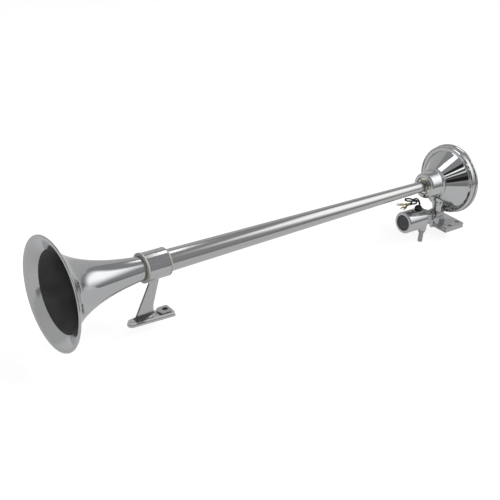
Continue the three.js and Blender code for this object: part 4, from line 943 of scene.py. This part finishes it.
# Return spring: hard steel wire, wound in seven turns. It stands on the core stop,
# pushes in the plunger's pocket, and is pressed shorter as the plunger is drawn in.
spring_low, spring_high = (Vector(corner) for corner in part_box("plunger_spring"))
wire_radius = 0.35
spring_turns = 7
steps_per_turn = 20
inner_steel = new_material("turned_steel", (0.52, 0.52, 0.51), 1, 0.28)
hazed(inner_steel, grain(inner_steel, 700, (1, 0.1, 0.1)), 0.2, 0.36)
bumped(inner_steel, grain(inner_steel, 1200), 0.015)
spring_axis = (spring_low + spring_high) / 2
coil_radius = (spring_high.y - spring_low.y) / 2 - wire_radius * mm
pitch = (spring_high.x - spring_low.x - 2 * wire_radius * mm) / spring_turns
bm = bmesh.new()
start = Vector((spring_low.x + wire_radius * mm, spring_axis.y + coil_radius, spring_axis.z))
wire = bmesh.ops.create_circle(bm, segments=10, radius=wire_radius * mm,
                               matrix=Matrix.Translation(start))["verts"]
loop = [*wire, *bm.edges]
bmesh.ops.edgeloop_fill(bm, edges=bm.edges)
ended = bmesh.ops.spin(bm, geom=loop, cent=start - Vector((0, coil_radius, 0)), axis=(1, 0, 0),
                       dvec=(pitch / steps_per_turn, 0, 0), angle=2 * math.pi * spring_turns,
                       steps=spring_turns * steps_per_turn)["geom_last"]
bmesh.ops.edgeloop_fill(bm, edges=[g for g in ended if isinstance(g, bmesh.types.BMEdge)])
bmesh.ops.recalc_face_normals(bm, faces=bm.faces)
spring = seat(shown("return_spring", bm, inner_steel), "horn", "steel", "plunger_spring")
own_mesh(spring)

# What else lies inside keeps its solids: rubber and brass seals, the nickelled nipple,
# fibre gaskets round the steel diaphragm, and the copper coil on its nylon bobbin round
# the steel tube in which the plunger slides.
fibre = new_material("fibre_gasket", (0.62, 0.61, 0.58), 0, 0.85)
tinted(fibre, grain(fibre, 900), (0.56, 0.55, 0.52), (0.68, 0.67, 0.64))
hazed(fibre, grain(fibre, 1100), 0.75, 0.95)
bumped(fibre, grain(fibre, 1800), 0.06)
copper = new_material("enamelled_copper", (0.50, 0.22, 0.10), 1, 0.3)
hazed(copper, grain(copper, 800), 0.22, 0.38)
bumped(copper, grain(copper, 1500, (1, 0.05, 0.05)), 0.1)
natural = new_material("natural_nylon", (0.74, 0.70, 0.60), 0, 0.45)
hazed(natural, grain(natural, 300), 0.38, 0.55)
bumped(natural, grain(natural, 1100), 0.03)
kept = {
    "tube_o_ring": black_rubber, "plunger_seal": black_rubber, "nozzle_seat": brass,
    "outlet_nipple": nickel, "front_gasket": fibre, "rear_gasket": fibre,
    "diaphragm": inner_steel, "core_stop": inner_steel, "guide_tube": inner_steel,
    "plunger": inner_steel, "coil_bobbin": natural, "coil_winding": copper,
}
for node, material in kept.items():
    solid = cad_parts[node]
    solid.data.materials.clear()
    solid.data.materials.append(material)

# The studio: a white sweep of floor and backdrop, and a room beyond it. Metal sees the
# sweep at about two thirds of white, and the room as grey.
floor_height = -0.0178
glow_in_view = 0.84
glow_in_metal = 0.42
white = (1, 1, 1, 1)
sweep_grey = (0.36, 0.36, 0.36, 1)
room_grey = (0.345, 0.347, 0.351, 1)


def unlit(name):
    """A material without a shader, and the socket that its own shader goes to."""
    material = bpy.data.materials.new(name)
    material.use_nodes = True
    tree = material.node_tree
    tree.nodes.remove(tree.nodes["Principled BSDF"])
    return material, tree, tree.nodes["Material Output"].inputs["Surface"]


def in_view(tree):
    """1 where the camera sees a thing, straight or through something clear, else 0."""
    rays = wired(tree, "LightPath", "Is Camera Ray").node.outputs
    return reckoned(tree, "MAXIMUM", rays["Is Camera Ray"], rays["Is Transmission Ray"])


def paper(name, corners, material):
    """A flat sheet of the studio."""
    bm = bmesh.new()
    bm.faces.new([bm.verts.new(corner) for corner in corners])
    sheet = in_scene(name, settled(name, bm))
    sheet.data.materials.append(material)
    return sheet


sweep, tree, face = unlit("white_sweep")
in_metal = wired(tree, "LightPath", "Is Glossy Ray")
glow = reckoned(tree, "MULTIPLY_ADD", in_metal, glow_in_metal,
                reckoned(tree, "MULTIPLY", in_view(tree), glow_in_view))
matt = wired(tree, "BsdfDiffuse", "BSDF", {"Color": sweep_grey})
bright = wired(tree, "Emission", "Emission", {"Strength": glow})
tree.links.new(wired(tree, "AddShader", "Shader", {0: matt, 1: bright}), face)
paper("floor", [(-9, -9, floor_height), (9, -9, floor_height), (9, 9, floor_height),
                (-9, 9, floor_height)], sweep)
wall_line = ((3.2, 0.6, 1.5), (1.49, 1.95, 1.9), (-0.6, 3.6, 3.3), (-4.2, 1.2, 2.6))
for k, (here, there) in enumerate(zip(wall_line, wall_line[1:])):
    paper(f"backdrop_{k + 1}", [(*here[:2], floor_height), (*there[:2], floor_height), there,
                                here], sweep)
room = bpy.data.worlds.new("grey_room")
room.use_nodes = True
tree = room.node_tree
tone = {"Factor": in_view(tree), "A": room_grey, "B": white}
tree.links.new(wired(tree, "Mix", "Result", tone, data_type="RGBA"),
               tree.nodes["Background"].inputs["Color"])
bpy.context.scene.world = room

# What the metal mirrors, out of the camera's sight: low grey boards beside the horn, a
# tall one far ahead, light and dark strips behind the camera, and a soft lamp's face.
board_height = 0.085


def glowing(name, strength, edges=()):
    """A face that gives light. At each edge, (axis, side, half, soft), it fades clear."""
    material, tree, face = unlit(name)
    glow = wired(tree, "Emission", "Emission", {"Strength": strength})
    left = 1
    for axis, side, half, soft in edges:
        along = wired(tree, "SeparateXYZ", axis, {"Vector": wired(tree, "TexCoord", "Object")})
        fade = ranged(tree, along, side * (half - soft), side * (half + soft), 1, 0,
                      interpolation_type="SMOOTHSTEP")
        left = reckoned(tree, "MULTIPLY", left, fade)
    if edges:
        clear = wired(tree, "BsdfTransparent", "BSDF")
        glow = wired(tree, "MixShader", "Shader", {"Fac": left, 1: clear, 2: glow})
    tree.links.new(glow, face)
    return material


def only_mirrored(sheet, place=None):
    """Leaves a sheet to reflections alone, and puts it in its place."""
    sheet.visible_camera = sheet.visible_shadow = sheet.visible_diffuse = False
    if place:
        sheet.matrix_world = place


grey_board = glowing("grey_board", 0.27)
board_line = ((-1.3, -0.02), (-1.22, -0.2), (-0.75, -0.5), (-0.1, -0.42), (0.1, -0.36),
              (0.9, -0.62))
for k, (here, there) in enumerate(zip(board_line, board_line[1:])):
    only_mirrored(paper(f"board_{k + 1}", [(*here, floor_height), (*there, floor_height),
                                           (*there, board_height), (*here, board_height)],
                        grey_board))
only_mirrored(paper("far_board", [(-4.2, 1.2, floor_height), (-4.4, -1.6, floor_height),
                                  (-4.4, -1.6, 2.6), (-4.2, 1.2, 2.6)],
                    glowing("far_glow", 0.52)))

# Each strip: lowest and highest angle over the horn's rear end, bearing, and light.
horn_rear = Vector((-0.02, -0.02, 0.09))
strip_distance = 2.2
strip_width = 0.9
strips = ((7, 20, -124, 0.02), (20, 27, -128, 0.11), (27, 30, -130, 0.03), (31, 35, -132, 1.0),
          (36, 41, -135, 0.11), (42, 45.6, -139, 1.7), (47, 55, -147, 0.03))
for k, (low, high, bearing, light) in enumerate(strips):
    rise, turn = math.radians((low + high) / 2), math.radians(bearing)
    away = Vector((math.cos(turn), math.sin(turn), math.tan(rise)))
    middle = horn_rear + strip_distance * away
    tall = strip_distance / math.cos(rise) * math.radians(high - low) / 2
    wide = strip_width / 2
    look = (horn_rear - middle).to_track_quat("Z", "Y").to_matrix().to_4x4()
    strip = paper(f"strip_{k + 1}", [(-wide, -tall, 0), (wide, -tall, 0), (wide, tall, 0),
                                     (-wide, tall, 0)], glowing(f"strip_glow_{k + 1}", light))
    only_mirrored(strip, Matrix.Translation(middle) @ look)

# The lamp face's place, turn and soft edges were read from the shine on the horn.
lamp_middle = Vector((0.2346, -0.3162, 0.4670))
lamp_across = Vector((-0.0618, 0.8555, -0.5140))
lamp_along = Vector((-0.4469, 0.4368, 0.7807))
half_across = 0.314
half_along = 0.271
lamp_edges = (("X", 1, half_across, 0.10), ("X", -1, half_across, 0.31),
              ("Y", 1, half_along, 0.07), ("Y", -1, half_along, 0.27))
right, left, high, low = (side * (half + soft) for axis, side, half, soft in lamp_edges)
only_mirrored(paper("diffuser", [(left, low, 0), (right, low, 0), (right, high, 0),
                                 (left, high, 0)], glowing("diffuser_glow", 1.70, lamp_edges)),
              placed(lamp_middle, lamp_across, lamp_along))

# The lamps: a key and a fill, which only light and aren't mirrored, and a small soft lamp
# over the front bracket, which is.
horn_middle = Vector((-0.25, 0, 0.07))


def soft_lamp(name, place, target, width, height, radiance, mirrored):
    """A soft lamp that faces a point, given by how bright its face looks."""
    data = bpy.data.lights.new(name, "AREA")
    data.shape = "RECTANGLE"
    data.size, data.size_y = width, height
    data.energy = radiance * math.pi * width * height
    lamp = in_scene(name, data)
    lamp.location = place
    lamp.rotation_euler = (Vector(target) - Vector(place)).to_track_quat("-Z", "Y").to_euler()
    lamp.visible_glossy = mirrored
    lamp.visible_camera = False


soft_lamp("key", (0.9, -0.9, 1.9), horn_middle, 1.2, 1.2, 4.4, False)
soft_lamp("fill", (-1.4, -1.6, 2.4), horn_middle, 2.0, 2.0, 1.3, False)
soft_lamp("overhead", (-0.2185, 0.14, 0.52), (-0.2185, 0.0, 0.05), 0.087, 0.22, 2.0, True)
bpy.context.scene.view_settings.view_transform = "Standard"
